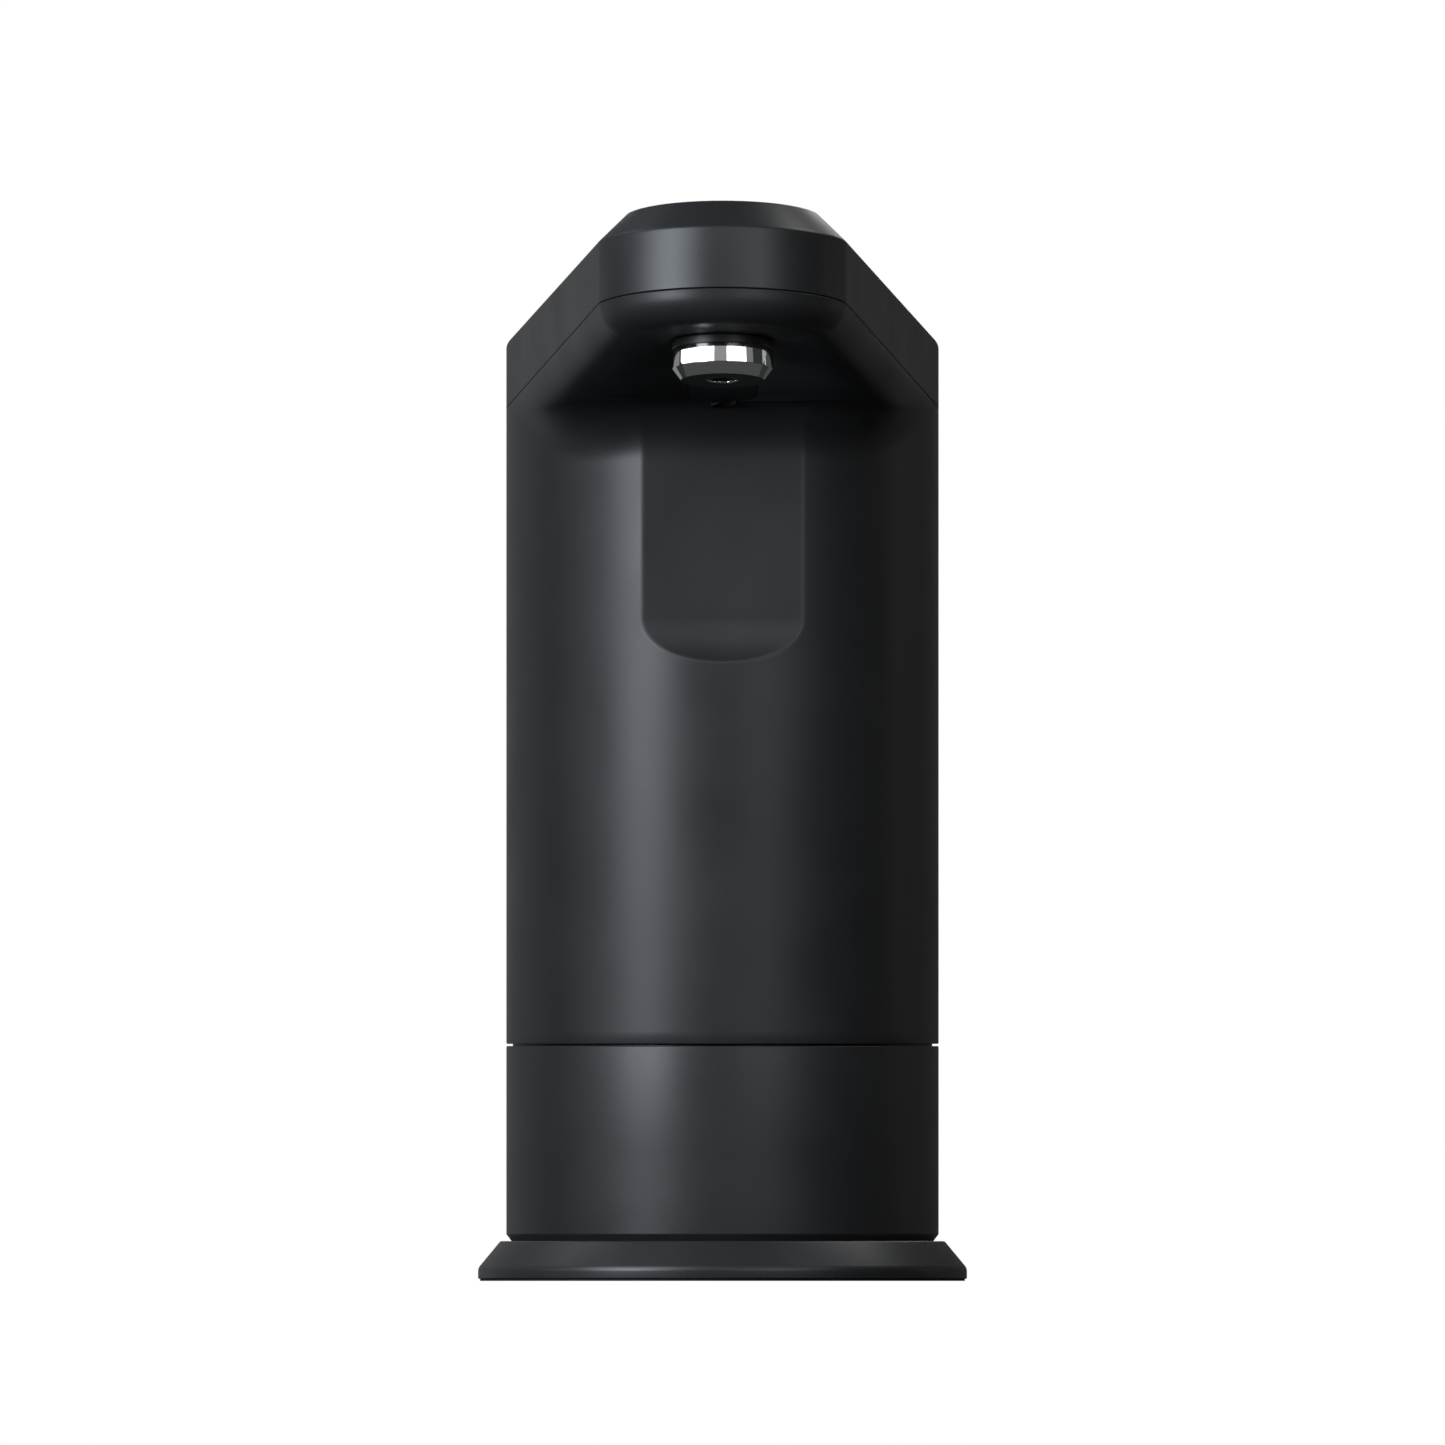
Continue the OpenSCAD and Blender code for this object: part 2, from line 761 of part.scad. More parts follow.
module button_switch() {
    color([0.12, 0.12, 0.13]) at_dial() {
        translate([-5, -3.2, pod_low]) cube([10, 6.4, switch_top - pod_low - 1]);
        translate([0, 0, switch_top - 1.5]) cylinder(r = 1.2, h = 1.5);
    }
}

// ---------- water tank ----------
// D-shaped prism that follows the column's round rear
module tank_prism(inset, z0, z1) {
    intersection() {
        translate([0, 0, z0]) cylinder(r = tank_r - inset, h = z1 - z0);
        translate([-far / 2, tank_y + inset, z0]) cube([far, far, z1 - z0]);
    }
}

module grip_block(grow) {
    translate([-grip_w / 2 - grow, tank_r - grip_depth - grow, grip_z - grow])
        cube([grip_w + 2 * grow, far, grip_h + 2 * grow]);
}

module water_tank() {
    top = tank_z + tank_h - lid_h;
    color([0.3, 0.33, 0.36, 0.6]) difference() {
        union() {
            difference() {
                tank_prism(0, tank_z, top);
                tank_prism(tank_wall, tank_z + tank_wall, top + 1);
            }
            intersection() {
                tank_prism(0, tank_z, top);
                grip_block(tank_wall);
            }
        }
        grip_block(0);
        translate([spigot_x, tank_y - 1, spigot_z]) rotate([-90, 0, 0])
            cylinder(r = spigot_r, h = tank_wall + 2);
    }
}

module tank_lid() {
    top = tank_z + tank_h;
    color([0.14, 0.145, 0.15]) {
        tank_prism(0, top - lid_h, top);
        difference() {
            tank_prism(tank_wall + loose, top - lid_h - 5, top - lid_h + 1);
            tank_prism(tank_wall + loose + 2, top - lid_h - 6, top - lid_h);
        }
    }
}

module tank_spigot() {
    color([0.85, 0.85, 0.85]) translate([spigot_x, tank_y, spigot_z]) rotate([90, 0, 0])
        difference() {
            translate([0, 0, -tank_wall - 2]) union() {
                translate([0, 0, 2]) cylinder(r = spigot_r, h = spigot_len + tank_wall);
                cylinder(r = spigot_r + 2, h = 2);
            }
            translate([0, 0, -tank_wall - 3]) cylinder(r = spigot_r - 2, h = far);
            translate([0, 0, spigot_len - 5]) rotate_extrude() translate([spigot_r, 0])
                circle(r = 1);
        }
}

module spigot_seal() {
    color([0.05, 0.05, 0.05]) translate([spigot_x, tank_y, spigot_z]) rotate([90, 0, 0])
        translate([0, 0, spigot_len - 5]) rotate_extrude() difference() {
            translate([spigot_r, 0]) circle(r = 1);
            translate([spigot_r + running / 2, -2]) square([4, 4]);
        }
}

module tank_socket() {
    color([0.2, 0.2, 0.21]) difference() {
        union() {
            translate([spigot_x, bay_y - shelf_t, spigot_z]) rotate([90, 0, 0])
                cylinder(r = socket_r, h = spigot_len + 6);
            translate([spigot_x, bay_y - shelf_t - spigot_len, shelf_z + 0.5])
                cylinder(r = 4, h = spigot_z - shelf_z);
        }
        translate([spigot_x, bay_y - shelf_t + 1, spigot_z]) rotate([90, 0, 0])
            cylinder(r = spigot_r + running, h = spigot_len + 2);
    }
}

// ---------- gas ----------
module at_cylinder(z) {
    translate([0, -cylinder_y, z]) children();
}

module co2_cylinder() {
    wall = 2.5;
    body = cylinder_h - shoulder_h - neck_h;
    color([0.75, 0.76, 0.78]) at_cylinder(cylinder_z) rotate_extrude() polygon([
        [0, 3], [cylinder_r - 8, 3], [cylinder_r - 6, 0], [cylinder_r - 2, 0],
        [cylinder_r, 2], [cylinder_r, body], [cylinder_r - 5, body + 14],
        [14, cylinder_h - neck_h], [14, cylinder_h], [10, cylinder_h],
        [10, cylinder_h - neck_h - wall], [cylinder_r - 5 - wall, body + 12],
        [cylinder_r - wall, body], [cylinder_r - wall, 3 + wall], [0, 3 + wall]]);
}

module cylinder_valve() {
    height = regulator_z - valve_z;
    color("goldenrod") at_cylinder(valve_z) {
        translate([0, 0, -8]) cylinder(r = 10, h = 8);
        cylinder(r = 13, h = height - 6, $fn = 6);
        cylinder(r = thread_r, h = height + thread_h);
    }
}

module gas_regulator() {
    color([0.6, 0.55, 0.4]) difference() {
        union() {
            at_cylinder(regulator_z) cylinder(r = 21, h = thread_h + 10);
            translate([0, -cylinder_y, regulator_z + 14]) rotate([0, 90, 0])
                cylinder(r = 4, h = 28);
        }
        at_cylinder(regulator_z - 1) cylinder(r = thread_r + running, h = thread_h + 2);
    }
}

module carbonation_vessel() {
    half = vessel_len / 2;
    color([0.7, 0.7, 0.72]) translate([0, vessel_y, vessel_z]) rotate([0, 90, 0])
        rotate_extrude() polygon([
            [0, -half - 8], [12, -half - 7], [20, -half - 4], [vessel_r, -half],
            [vessel_r, half], [20, half + 4], [12, half + 7], [0, half + 8]]);
}

module vessel_fitting() {
    color("goldenrod") translate([vessel_len / 2 + 8, vessel_y, vessel_z]) {
        rotate([0, 90, 0]) cylinder(r = 9, h = 8);
        translate([4, 0, 8]) cylinder(r = 4, h = 7);
        translate([4, 8, 0]) rotate([-90, 0, 0]) cylinder(r = 4, h = 7);
    }
}

// ---------- pump ----------
module on_shaft(x) {
    translate([x, pump_y, pump_z]) rotate([0, 90, 0]) children();
}

module pump_motor() {
    color([0.6, 0.6, 0.62]) difference() {
        on_shaft(motor_x0) cylinder(r = motor_r, h = motor_x1 - motor_x0);
        on_shaft(motor_x0 + 4) cylinder(r = motor_r - 2, h = motor_x1 - motor_x0 - 8);
        on_shaft(motor_x0 + 1) cylinder(r = shaft_r + running, h = far);
    }
}

module pump_head() {
    side = 18;
    color([0.1, 0.1, 0.11]) difference() {
        union() {
            translate([motor_x1, pump_y - side, pump_z - side])
                cube([pump_len, 2 * side, 2 * side]);
            translate([motor_x1 + 22, pump_y, pump_z + side]) cylinder(r = 4, h = 7);
            on_shaft(motor_x1 + pump_len) cylinder(r = 4, h = 7);
        }
        on_shaft(motor_x1 - 1) cylinder(r = shaft_r + running, h = pump_len - 6);
        on_shaft(motor_x1 + 6) cylinder(r = 12, h = 12);
    }
}

module pump_rotor() {
    color("silver") {
        on_shaft(motor_x0 + 2) cylinder(r = shaft_r, h = motor_x1 - motor_x0 + 20);
        on_shaft(motor_x0 + 8) cylinder(r = motor_r - 4, h = motor_x1 - motor_x0 - 16);
        on_shaft(motor_x1 + 7) translate([1.5, 0, 0]) cylinder(r = 8, h = 10);
    }
}

module control_board() {
    color([0.1, 0.3, 0.18]) {
        translate([-56, 2, board_z]) cube([60, 50, 1.6]);
        translate([-50, 14, board_z + 1.6]) cube([18, 20, 7]);
        translate([-26, 12, board_z + 1.6]) cylinder(r = 5, h = 7);
        translate([-12, 30, board_z + 1.6]) cube([12, 12, 3]);
    }
}

// Block of the power socket, through the lower housing's rear wall
module inlet_shape(grow) {
    translate([-inlet_w / 2 - grow, inlet_y, inlet_z - grow])
        cube([inlet_w + 2 * grow, far, inlet_h + 2 * grow]);
}

module power_inlet() {
    color([0.06, 0.06, 0.06]) intersection() {
        difference() {
            inlet_shape(0);
            translate([inlet_wall - inlet_w / 2, inlet_y + inlet_back, inlet_z + inlet_wall_z])
                cube([inlet_w - 2 * inlet_wall, far, inlet_h - 2 * inlet_wall_z]);
        }
        cylinder(r = column_r - 0.3, h = far);
    }
}

// ---------- hoses and the cable, whole, each along its own route ----------
hose_holes = [[55, bay_y - shelf_t - spigot_len], [60, -36], [-60, -36], [-40, -48]];

module feed_hose() {
    x = spigot_x;
    y = bay_y - shelf_t - spigot_len;
    px = motor_x1 + 22;
    color([0.8, 0.8, 0.82]) tube_along([[x, y, shelf_z + 0.5], [x, y, 96], [x - 5, y + 4, 86],
        [x - 24, pump_y - 6, 80], [px + 3, pump_y, 76], [px, pump_y, 70],
        [px, pump_y, pump_z + 25]], 3.2);
}

module pressure_hose() {
    x = motor_x1 + pump_len + 7;
    fx = vessel_len / 2 + 12;
    color([0.8, 0.8, 0.82]) tube_along([[x, pump_y, pump_z], [x + 10, pump_y, pump_z + 1],
        [fx - 8, pump_y - 6, pump_z + 3], [fx, 8, vessel_z], [fx, vessel_y + 15, vessel_z]], 3.2);
}

module gas_hose() {
    fx = vessel_len / 2 + 12;
    color([0.15, 0.15, 0.16]) tube_along([[28, -cylinder_y, regulator_z + 14],
        [42, -cylinder_y - 3, regulator_z + 14], [56, -28, regulator_z + 12],
        [60, -36, regulator_z + 3], [60, -36, bay_top - 8], [60, -36, 250], [60, -36, 180],
        [60, -36, shelf_z + 4], [60, -36, 88], [fx, vessel_y, vessel_z + 26], [fx, vessel_y, vessel_z + 15]], 2.4);
}

module outlet_hose() {
    x = -vessel_len / 2 - 8;
    color([0.8, 0.8, 0.82]) tube_along([[x, vessel_y, vessel_z], [x - 6, vessel_y, vessel_z + 4],
        [-62, -34, vessel_z + 20], [-60, -36, 88], [-60, -36, 180], [-60, -36, 250],
        [-60, -36, bay_top], head_point([-56, -44, -2]), head_point([-30, -90, 3]),
        head_point([-18, -150, 3]), head_point([-16, -190, 1]), head_point([-12, -213, -2])], 3.2);
}

module control_cable() {
    color([0.1, 0.1, 0.1]) tube_along([[-40, 14, board_z + 5], [-40, 6, board_z + 6],
        [-40, -22, 88], [-40, -45, 91], [-40, -48, shelf_z + 2], [-40, -48, 180],
        [-40, -48, 250], [-40, -48, bay_top], head_point([-36, -56, 10]),
        head_point([-8, -84, 15]), head_point([16, -118, 12]), head_point([16, -150, 14]),
        head_point([14, -176, 14]), head_point([8, -184, 14])], 1.6, 4, 8);
}

base_plate();
base_floor();
base_pads();
base_screws();
drip_grate();
lower_housing();
column_housing();
bay_liner();
chassis();
head_cover();
cover_screws();
service_cover();
nozzle_collar();
nozzle_ring();
nozzle_face();
nozzle_tube();
dispense_valve();
valve_plunger();
control_pod();
level_dial();
dial_clip();
dispense_button();
button_spring();
button_switch();
water_tank();
tank_lid();
tank_spigot();
spigot_seal();
tank_socket();
co2_cylinder();
cylinder_valve();
gas_regulator();
carbonation_vessel();
vessel_fitting();
pump_motor();
pump_head();
pump_rotor();
control_board();
power_inlet();
feed_hose();
pressure_hose();
gas_hose();
outlet_hose();
control_cable();
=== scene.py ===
"""Looks of the countertop soda carbonator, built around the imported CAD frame.

Sizes are millimetres in the frame's axes: +Z up, front is -Y, origin on the column's axis on
the table. The head has its own axes: u across, v along it, w square to its split plane.
"""
import json
import math

import bmesh
import bpy
import numpy as np
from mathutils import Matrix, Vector
from mathutils.geometry import tessellate_polygon


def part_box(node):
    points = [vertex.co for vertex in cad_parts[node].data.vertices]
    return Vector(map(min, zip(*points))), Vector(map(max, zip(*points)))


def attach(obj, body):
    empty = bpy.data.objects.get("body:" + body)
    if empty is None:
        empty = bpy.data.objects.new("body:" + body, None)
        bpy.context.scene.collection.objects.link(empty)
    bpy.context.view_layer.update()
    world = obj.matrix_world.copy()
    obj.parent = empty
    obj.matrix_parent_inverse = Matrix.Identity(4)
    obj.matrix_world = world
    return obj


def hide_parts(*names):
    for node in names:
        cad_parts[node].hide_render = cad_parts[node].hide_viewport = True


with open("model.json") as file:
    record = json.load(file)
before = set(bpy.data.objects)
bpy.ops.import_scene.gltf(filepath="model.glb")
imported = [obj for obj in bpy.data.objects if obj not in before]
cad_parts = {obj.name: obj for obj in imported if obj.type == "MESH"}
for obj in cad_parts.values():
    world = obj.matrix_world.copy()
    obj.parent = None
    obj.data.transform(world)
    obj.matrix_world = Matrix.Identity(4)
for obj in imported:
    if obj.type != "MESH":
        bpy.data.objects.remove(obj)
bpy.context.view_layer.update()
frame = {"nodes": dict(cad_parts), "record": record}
MM = 0.001


def box_mm(node):
    """Lowest and highest corners of a CAD node in millimetres."""
    low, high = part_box(node)
    return np.array(low) / MM, np.array(high) / MM


# ---------- sizes, from the frame where it has them ----------
COLUMN_R = box_mm("lower_housing")[1][0]
LOWER_TOP = 91.3
COLUMN_FOOT = box_mm("column_housing")[0][2]
BASE_TOP = box_mm("base_plate")[1][2]
BASE_LOW = box_mm("base_plate")[0][2]
BASE_R = box_mm("base_plate")[1][0]
BASE_REACH = -box_mm("base_plate")[0][1] - BASE_R
GRATE_R = box_mm("drip_grate")[1][0]
GRATE_Y = (box_mm("drip_grate")[0][1] + box_mm("drip_grate")[1][1]) / 2
TANK_LOW = box_mm("water_tank")[0][2]
TANK_TOP = box_mm("tank_lid")[1][2]
TANK_FRONT = box_mm("water_tank")[0][1]
LID_LOW = box_mm("water_tank")[1][2]
BAY_GAP = 0.5
HEAD_Z = 338.2
TILT = math.radians(10)
SIN_T = math.sin(TILT)
COS_T = math.cos(TILT)
TAN_T = math.tan(TILT)
NOSE_R = 50.5
NOSE_V = 225.0
# how far the rounding under the split draws back at the nose, to stay inside the CAD box
NOSE_PULL = 0.26
KINK = math.radians(71.9)
KINK_SOFT = 2.0
BAND_H = 24.4
TOP_W = 36.7
CHAMFER_W = 12.5
LOWER_H = 12.4
SPLIT = 0.15
EDGE = 0.5
# inset and height of the edge rows next to the split
EDGE_ROWS = [(0.35, -SPLIT), (0.1, -SPLIT - 0.1), (0.0, -EDGE)]
HEAD_WALL = 2.6
SHELL_WALL = 2.4
LOWER_WALL = 3.5
CONVEX_R = LOWER_H - EDGE
CONCAVE_R = 19.0
CONCAVE_SHORT = 12.5
CONVEX_STEPS = 13
CONCAVE_STEPS = 17
FLAT_Y = 78.0
RECESS_Z = 257.6
RAMP_R = 27.0
NOZZLE_R = 19.55
RING_TOP = -LOWER_H - 3.5
RING_LOW = RING_TOP - 7.6
NOZZLE_W = RING_LOW - 4.4
FACE_R = 16.3
OUTLET_R = 6.75
DIAL_V = 213.0
DIAL_R = 26.0
DIAL_TOP = TOP_W + 2.2
WELL_R = 26.5
WELL_DEPTH = 1.5
HUB_R = 22.05
BUTTON_R = 16.4
SERVICE_R = 13.3
SERVICE_END = 104.0
FIT = 0.25
NECK_TOP = -9.8
TUBE_BORE = 5.55
BEVEL_W = 8.7
BEVEL_LOW = 5.0
GRATE_H = 2.0
GRIP_HALF = 28.0
GRIP_LEVELS = (270, 275, 280, 285, 290)
TANK_WALL = 2.4
WELD = 0.004


# ---------- mesh tools ----------
class Builder:
    """Collects grids and plates of points in millimetres into one mesh."""

    def __init__(self):
        self.points = []
        self.faces = []

    def add(self, points):
        start = len(self.points)
        self.points.extend(np.asarray(points, float).reshape(-1, 3).tolist())
        return start

    def grid(self, rows, closed=False, skip=None):
        """rows: array (m, n, 3). Neighbouring rows are joined; closed joins each row's ends."""
        rows = np.asarray(rows, float)
        m, n = rows.shape[:2]
        start = self.add(rows)
        for i in range(m - 1):
            for j in range(n if closed else n - 1):
                k = (j + 1) % n
                if skip is not None and skip(i, j):
                    continue
                self.faces.append((start + i * n + j, start + i * n + k,
                                   start + (i + 1) * n + k, start + (i + 1) * n + j))

    def plate(self, loops):
        """Flat face with holes: the first loop is the outside."""
        start = self.add(np.concatenate([np.asarray(loop, float) for loop in loops]))
        for tri in tessellate_polygon([[Vector(p) for p in loop] for loop in loops]):
            self.faces.append(tuple(start + i for i in tri))

    def make(self, name, sharp=40):
        """Welds the points and makes the object. Edges bent by over sharp degrees stay sharp."""
        mesh = bpy.data.meshes.new(name)
        mesh.from_pydata([tuple(c * MM for c in p) for p in self.points], [], self.faces)
        bm = bmesh.new()
        bm.from_mesh(mesh)
        bmesh.ops.remove_doubles(bm, verts=bm.verts, dist=WELD * MM)
        bmesh.ops.dissolve_degenerate(bm, edges=bm.edges, dist=WELD * MM / 4)
        loose = [v for v in bm.verts if not v.link_faces]
        bmesh.ops.delete(bm, geom=loose, context="VERTS")
        bmesh.ops.recalc_face_normals(bm, faces=bm.faces)
        bm.to_mesh(mesh)
        bm.free()
        mesh.shade_smooth()
        mesh.set_sharp_from_angle(angle=math.radians(sharp))
        piece = bpy.data.objects.new(name, mesh)
        bpy.context.scene.collection.objects.link(piece)
        return piece


def soften(points, steps=6):
    """Rounds the corners of a profile. points are (a, b, radius); end points stay as they are."""
    out = [points[0][:2]]
    for before, here, after in zip(points, points[1:], points[2:]):
        p = np.array(here[:2], float)
        a = np.array(before[:2], float) - p
        b = np.array(after[:2], float) - p
        la, lb = np.linalg.norm(a), np.linalg.norm(b)
        radius = here[2] if len(here) > 2 else 0
        turn = math.acos(np.clip(np.dot(a, b) / la / lb, -1, 1))
        if radius <= 0 or turn > math.pi - 1e-3:
            out.append(tuple(p))
            continue
        reach = min(radius / math.tan(turn / 2), la * 0.49, lb * 0.49)
        radius = reach * math.tan(turn / 2)
        start, end = p + a / la * reach, p + b / lb * reach
        half = a / la + b / lb
        middle = p + half / np.linalg.norm(half) * radius / math.sin(turn / 2)
        s, e = start - middle, end - middle
        sweep = math.pi - turn
        for k in range(steps + 1):
            t = k / steps
            f = (math.sin((1 - t) * sweep) * s + math.sin(t * sweep) * e) / math.sin(sweep)
            out.append(tuple(middle + f))
    out.append(points[-1][:2])
    return np.array(out)


def lathe(name, profile, place=None, count=128, sharp=40, wobble=None):
    """Turns (radius, height) points about Z, then moves them with place(x, y, z)."""
    profile = np.asarray(profile, float)
    angle = np.linspace(0, 2 * math.pi, count, endpoint=False)
    r = np.repeat(profile[:, :1], count, axis=1)
    if wobble is not None:
        r = wobble(r, profile[:, 1:2], angle[None, :])
    z = np.repeat(profile[:, 1:2], count, axis=1)
    x, y = r * np.cos(angle), r * np.sin(angle)
    builder = Builder()
    rows = np.stack([x, y, z], -1)
    if place is not None:
        rows = place(rows)
    builder.grid(rows, closed=True)
    return builder.make(name, sharp)


def tilted(points):
    """Points of the head's frame, in the part's frame."""
    points = np.asarray(points, float)
    u, v, w = points[..., 0], points[..., 1], points[..., 2]
    return np.stack([u, v * COS_T + w * SIN_T, HEAD_Z - v * SIN_T + w * COS_T], -1)


def at_v(v0):
    """Places turned points on the head, with their axis at v0."""
    return lambda p: tilted(np.asarray(p, float) + [0, v0, 0])


def solidify(piece, thickness):
    """Gives a sheet its wall, inwards, and applies it."""
    mod = piece.modifiers.new("wall", "SOLIDIFY")
    mod.thickness = thickness * MM
    mod.offset = -1
    mod.use_even_offset = False
    apply_modifiers(piece)


def apply_modifiers(piece):
    graph = bpy.context.evaluated_depsgraph_get()
    mesh = bpy.data.meshes.new_from_object(piece.evaluated_get(graph))
    piece.modifiers.clear()
    piece.data = mesh


def smoothstep(x):
    x = np.clip(x, 0, 1)
    return x * x * (3 - 2 * x)


# ---------- the head's outline ----------
def tangent_angle():
    """Angle where the right flank meets the column at the split plane, in the part's plan."""
    kink = np.array([NOSE_R * math.sin(KINK), (-NOSE_V - NOSE_R * math.cos(KINK)) * COS_T])
    return math.atan2(kink[1], kink[0]) + math.acos(COLUMN_R / np.linalg.norm(kink))


# angles from the front: where the flanks touch the column, and where its fillet starts
THETA_T = math.pi / 2 + tangent_angle()
THETA_0 = THETA_T - math.acos((COLUMN_R - CONVEX_R) / (COLUMN_R + CONCAVE_R))


def nose_part(inset, towards):
    """Nose arc and softened kink of the right half, up to a flank that runs to towards."""
    r = NOSE_R - inset
    psi = np.linspace(0, KINK - KINK_SOFT / NOSE_R, 44)
    arc = np.stack([r * np.sin(psi), -NOSE_V - r * np.cos(psi)], -1)
    kink = np.array([r * math.sin(KINK), -NOSE_V - r * math.cos(KINK)])
    flank = np.array(towards) - kink
    start = kink + flank / np.linalg.norm(flank) * KINK_SOFT
    t = np.linspace(0, 1, 8)[1:, None]
    bend = (1 - t) ** 2 * arc[-1] + 2 * t * (1 - t) * kink + t ** 2 * start
    return np.concatenate([arc, bend])


def head_outline(w, inset):
    """Closed outline of the head cover at height w: (n, 2) points of u and v."""
    a = COLUMN_R - inset
    vc = -w * TAN_T
    r = NOSE_R - inset
    kink = np.array([r * math.sin(KINK), (-NOSE_V - r * math.cos(KINK) - vc) * COS_T])
    turn = math.atan2(kink[1], kink[0]) + math.acos(a / np.linalg.norm(kink))
    touch = np.array([a * math.cos(turn), vc + a * math.sin(turn) / COS_T])
    nose = nose_part(inset, touch)
    t = np.linspace(0, 1, 26)[1:, None]
    flank = nose[-1] * (1 - t) + touch * t
    phi = np.linspace(turn, math.pi / 2, 70)[1:]
    rear = np.stack([a * np.cos(phi), vc + a * np.sin(phi) / COS_T], -1)
    right = np.concatenate([nose, flank, rear])
    left = right[1:-1][::-1] * [-1, 1]
    return np.concatenate([right, left])


def circle(r, v0, w, count=96, place=tilted):
    """Points of a circle, on the head or, with place=plain, in the part's frame."""
    a = np.linspace(0, 2 * math.pi, count, endpoint=False)
    return place(np.stack([r * np.cos(a), v0 + r * np.sin(a), np.full(count, w)], -1))


# ---------- head cover ----------
def make_head_cover():
    inner_slope = CHAMFER_W / (TOP_W - BAND_H)
    roof_in = HEAD_WALL * math.hypot(1, inner_slope)
    outer = soften([(HEAD_WALL, SPLIT), (0, SPLIT, 0.35), (0, BAND_H, 2.2),
                    (CHAMFER_W, TOP_W, 3.0), (CHAMFER_W + 5, TOP_W)], 8)
    ceiling = TOP_W - HEAD_WALL
    inner = [(roof_in + (ceiling - BAND_H) * inner_slope, ceiling),
             (HEAD_WALL, BAND_H - 1), (HEAD_WALL, SPLIT)]
    builder = Builder()

    def ring(inset, w):
        outline = head_outline(w, inset)
        return tilted(np.column_stack([outline, np.full(len(outline), w)]))

    rows = [ring(*p) for p in outer]
    extra = [ring(0, w) for w in np.linspace(2, BAND_H - 2, 5)]
    split_at = next(i for i, p in enumerate(outer) if p[1] > BAND_H / 2)
    rows = rows[:split_at] + extra + rows[split_at:]
    builder.grid(rows, closed=True)
    builder.grid([ring(*p) for p in inner], closed=True)
    well = TOP_W - WELL_DEPTH
    builder.plate([rows[-1], circle(WELL_R, -DIAL_V, TOP_W)])
    builder.plate([ring(*inner[0]), circle(HUB_R, -DIAL_V, ceiling)])
    builder.grid([circle(WELL_R, -DIAL_V, TOP_W), circle(WELL_R, -DIAL_V, well),
                  circle(HUB_R, -DIAL_V, well), circle(HUB_R, -DIAL_V, ceiling)], closed=True)
    return builder.make("head_cover_shell", 30)


# ---------- column housing with the lower head shell ----------
def split_height(y):
    """Height of the split plane at depth y."""
    return HEAD_Z - TAN_T * y


def convex_rows(end):
    """Inset and height of the rounding under the split, down to an angle of end."""
    return [(CONVEX_R * (1 - math.cos(a)), -EDGE - CONVEX_R * math.sin(a))
            for a in end * np.linspace(0, 1, CONVEX_STEPS)[1:]]


def flat_front(z):
    """Distance from the axis to the recess's surface at height z."""
    below = np.clip(RECESS_Z - z, 0, RAMP_R - 0.01)
    return FLAT_Y + RAMP_R - np.sqrt(RAMP_R ** 2 - below ** 2) + 40 * (RECESS_Z - z > RAMP_R - 0.1)


def soft_min(a, b, k=0.5):
    """The smaller of a and b, blended over k where they are close."""
    h = np.clip(0.5 + 0.5 * (b - a) / k, 0, 1)
    return b * (1 - h) + a * h - k * h * (1 - h)


def wall_radius(theta, z):
    """Column wall with its flat recess, by angle from the front."""
    front = np.cos(theta)
    reach = np.where(front > 0.5, flat_front(z) / np.maximum(front, 0.5), 1e3)
    return soft_min(np.full_like(reach, COLUMN_R), reach)


def column_angles(bay_angle):
    """Angles from the front of the grid's columns on the right half."""
    dense = math.radians(26)
    spans = [(0, dense, 79), (dense, THETA_0, 6), (THETA_0, THETA_T, 34),
             (THETA_T, bay_angle, 12), (bay_angle, math.pi, 40)]
    parts = [np.linspace(a, b, n + 1)[:-1] for a, b, n in spans]
    return np.concatenate(parts + [[math.pi]])


def shell_rows(theta, side):
    """Edge, convex and concave rows under the split, for one angle: arrays of x, y, z."""
    out = np.array([math.sin(theta) * side, -math.cos(theta)])
    c = math.cos(THETA_T - theta) if theta < THETA_T else 1.0
    reach = COLUMN_R / c
    width = reach - COLUMN_R
    full = CONVEX_R / c + CONCAVE_R
    phi = math.acos(np.clip(1 - width / full, 0, 1))
    lean = 1 - smoothstep((theta - THETA_0) / (THETA_T - THETA_0))
    rows = []
    for inset, w in EDGE_ROWS + convex_rows(phi):
        plan = out * (reach - inset / c)
        y = plan[1] + lean * w * SIN_T
        rows.append((plan[0], y, split_height(y) + w / COS_T))
    low = -EDGE - CONVEX_R * math.sin(phi)
    middle = smoothstep((THETA_0 - theta) / (THETA_0 - math.radians(10)))
    depth = CONCAVE_R - CONCAVE_SHORT * middle
    # the fillet runs down into the wall above the recess
    wall = wall_radius(np.array(theta), np.array(RECESS_Z + 40.0))
    concave = []
    for b in phi * np.linspace(1, 0, CONCAVE_STEPS):
        share = 1 - math.cos(b)
        radius = wall + (COLUMN_R + depth - wall) * share
        w = low - CONCAVE_R * (math.sin(phi) - math.sin(b))
        plan = out * radius
        fade = share / max(1 - math.cos(phi), 1e-9)
        y = plan[1] + lean * low * SIN_T * min(fade, 1)
        concave.append((plan[0], y, split_height(y) + w / COS_T))
    return rows, concave


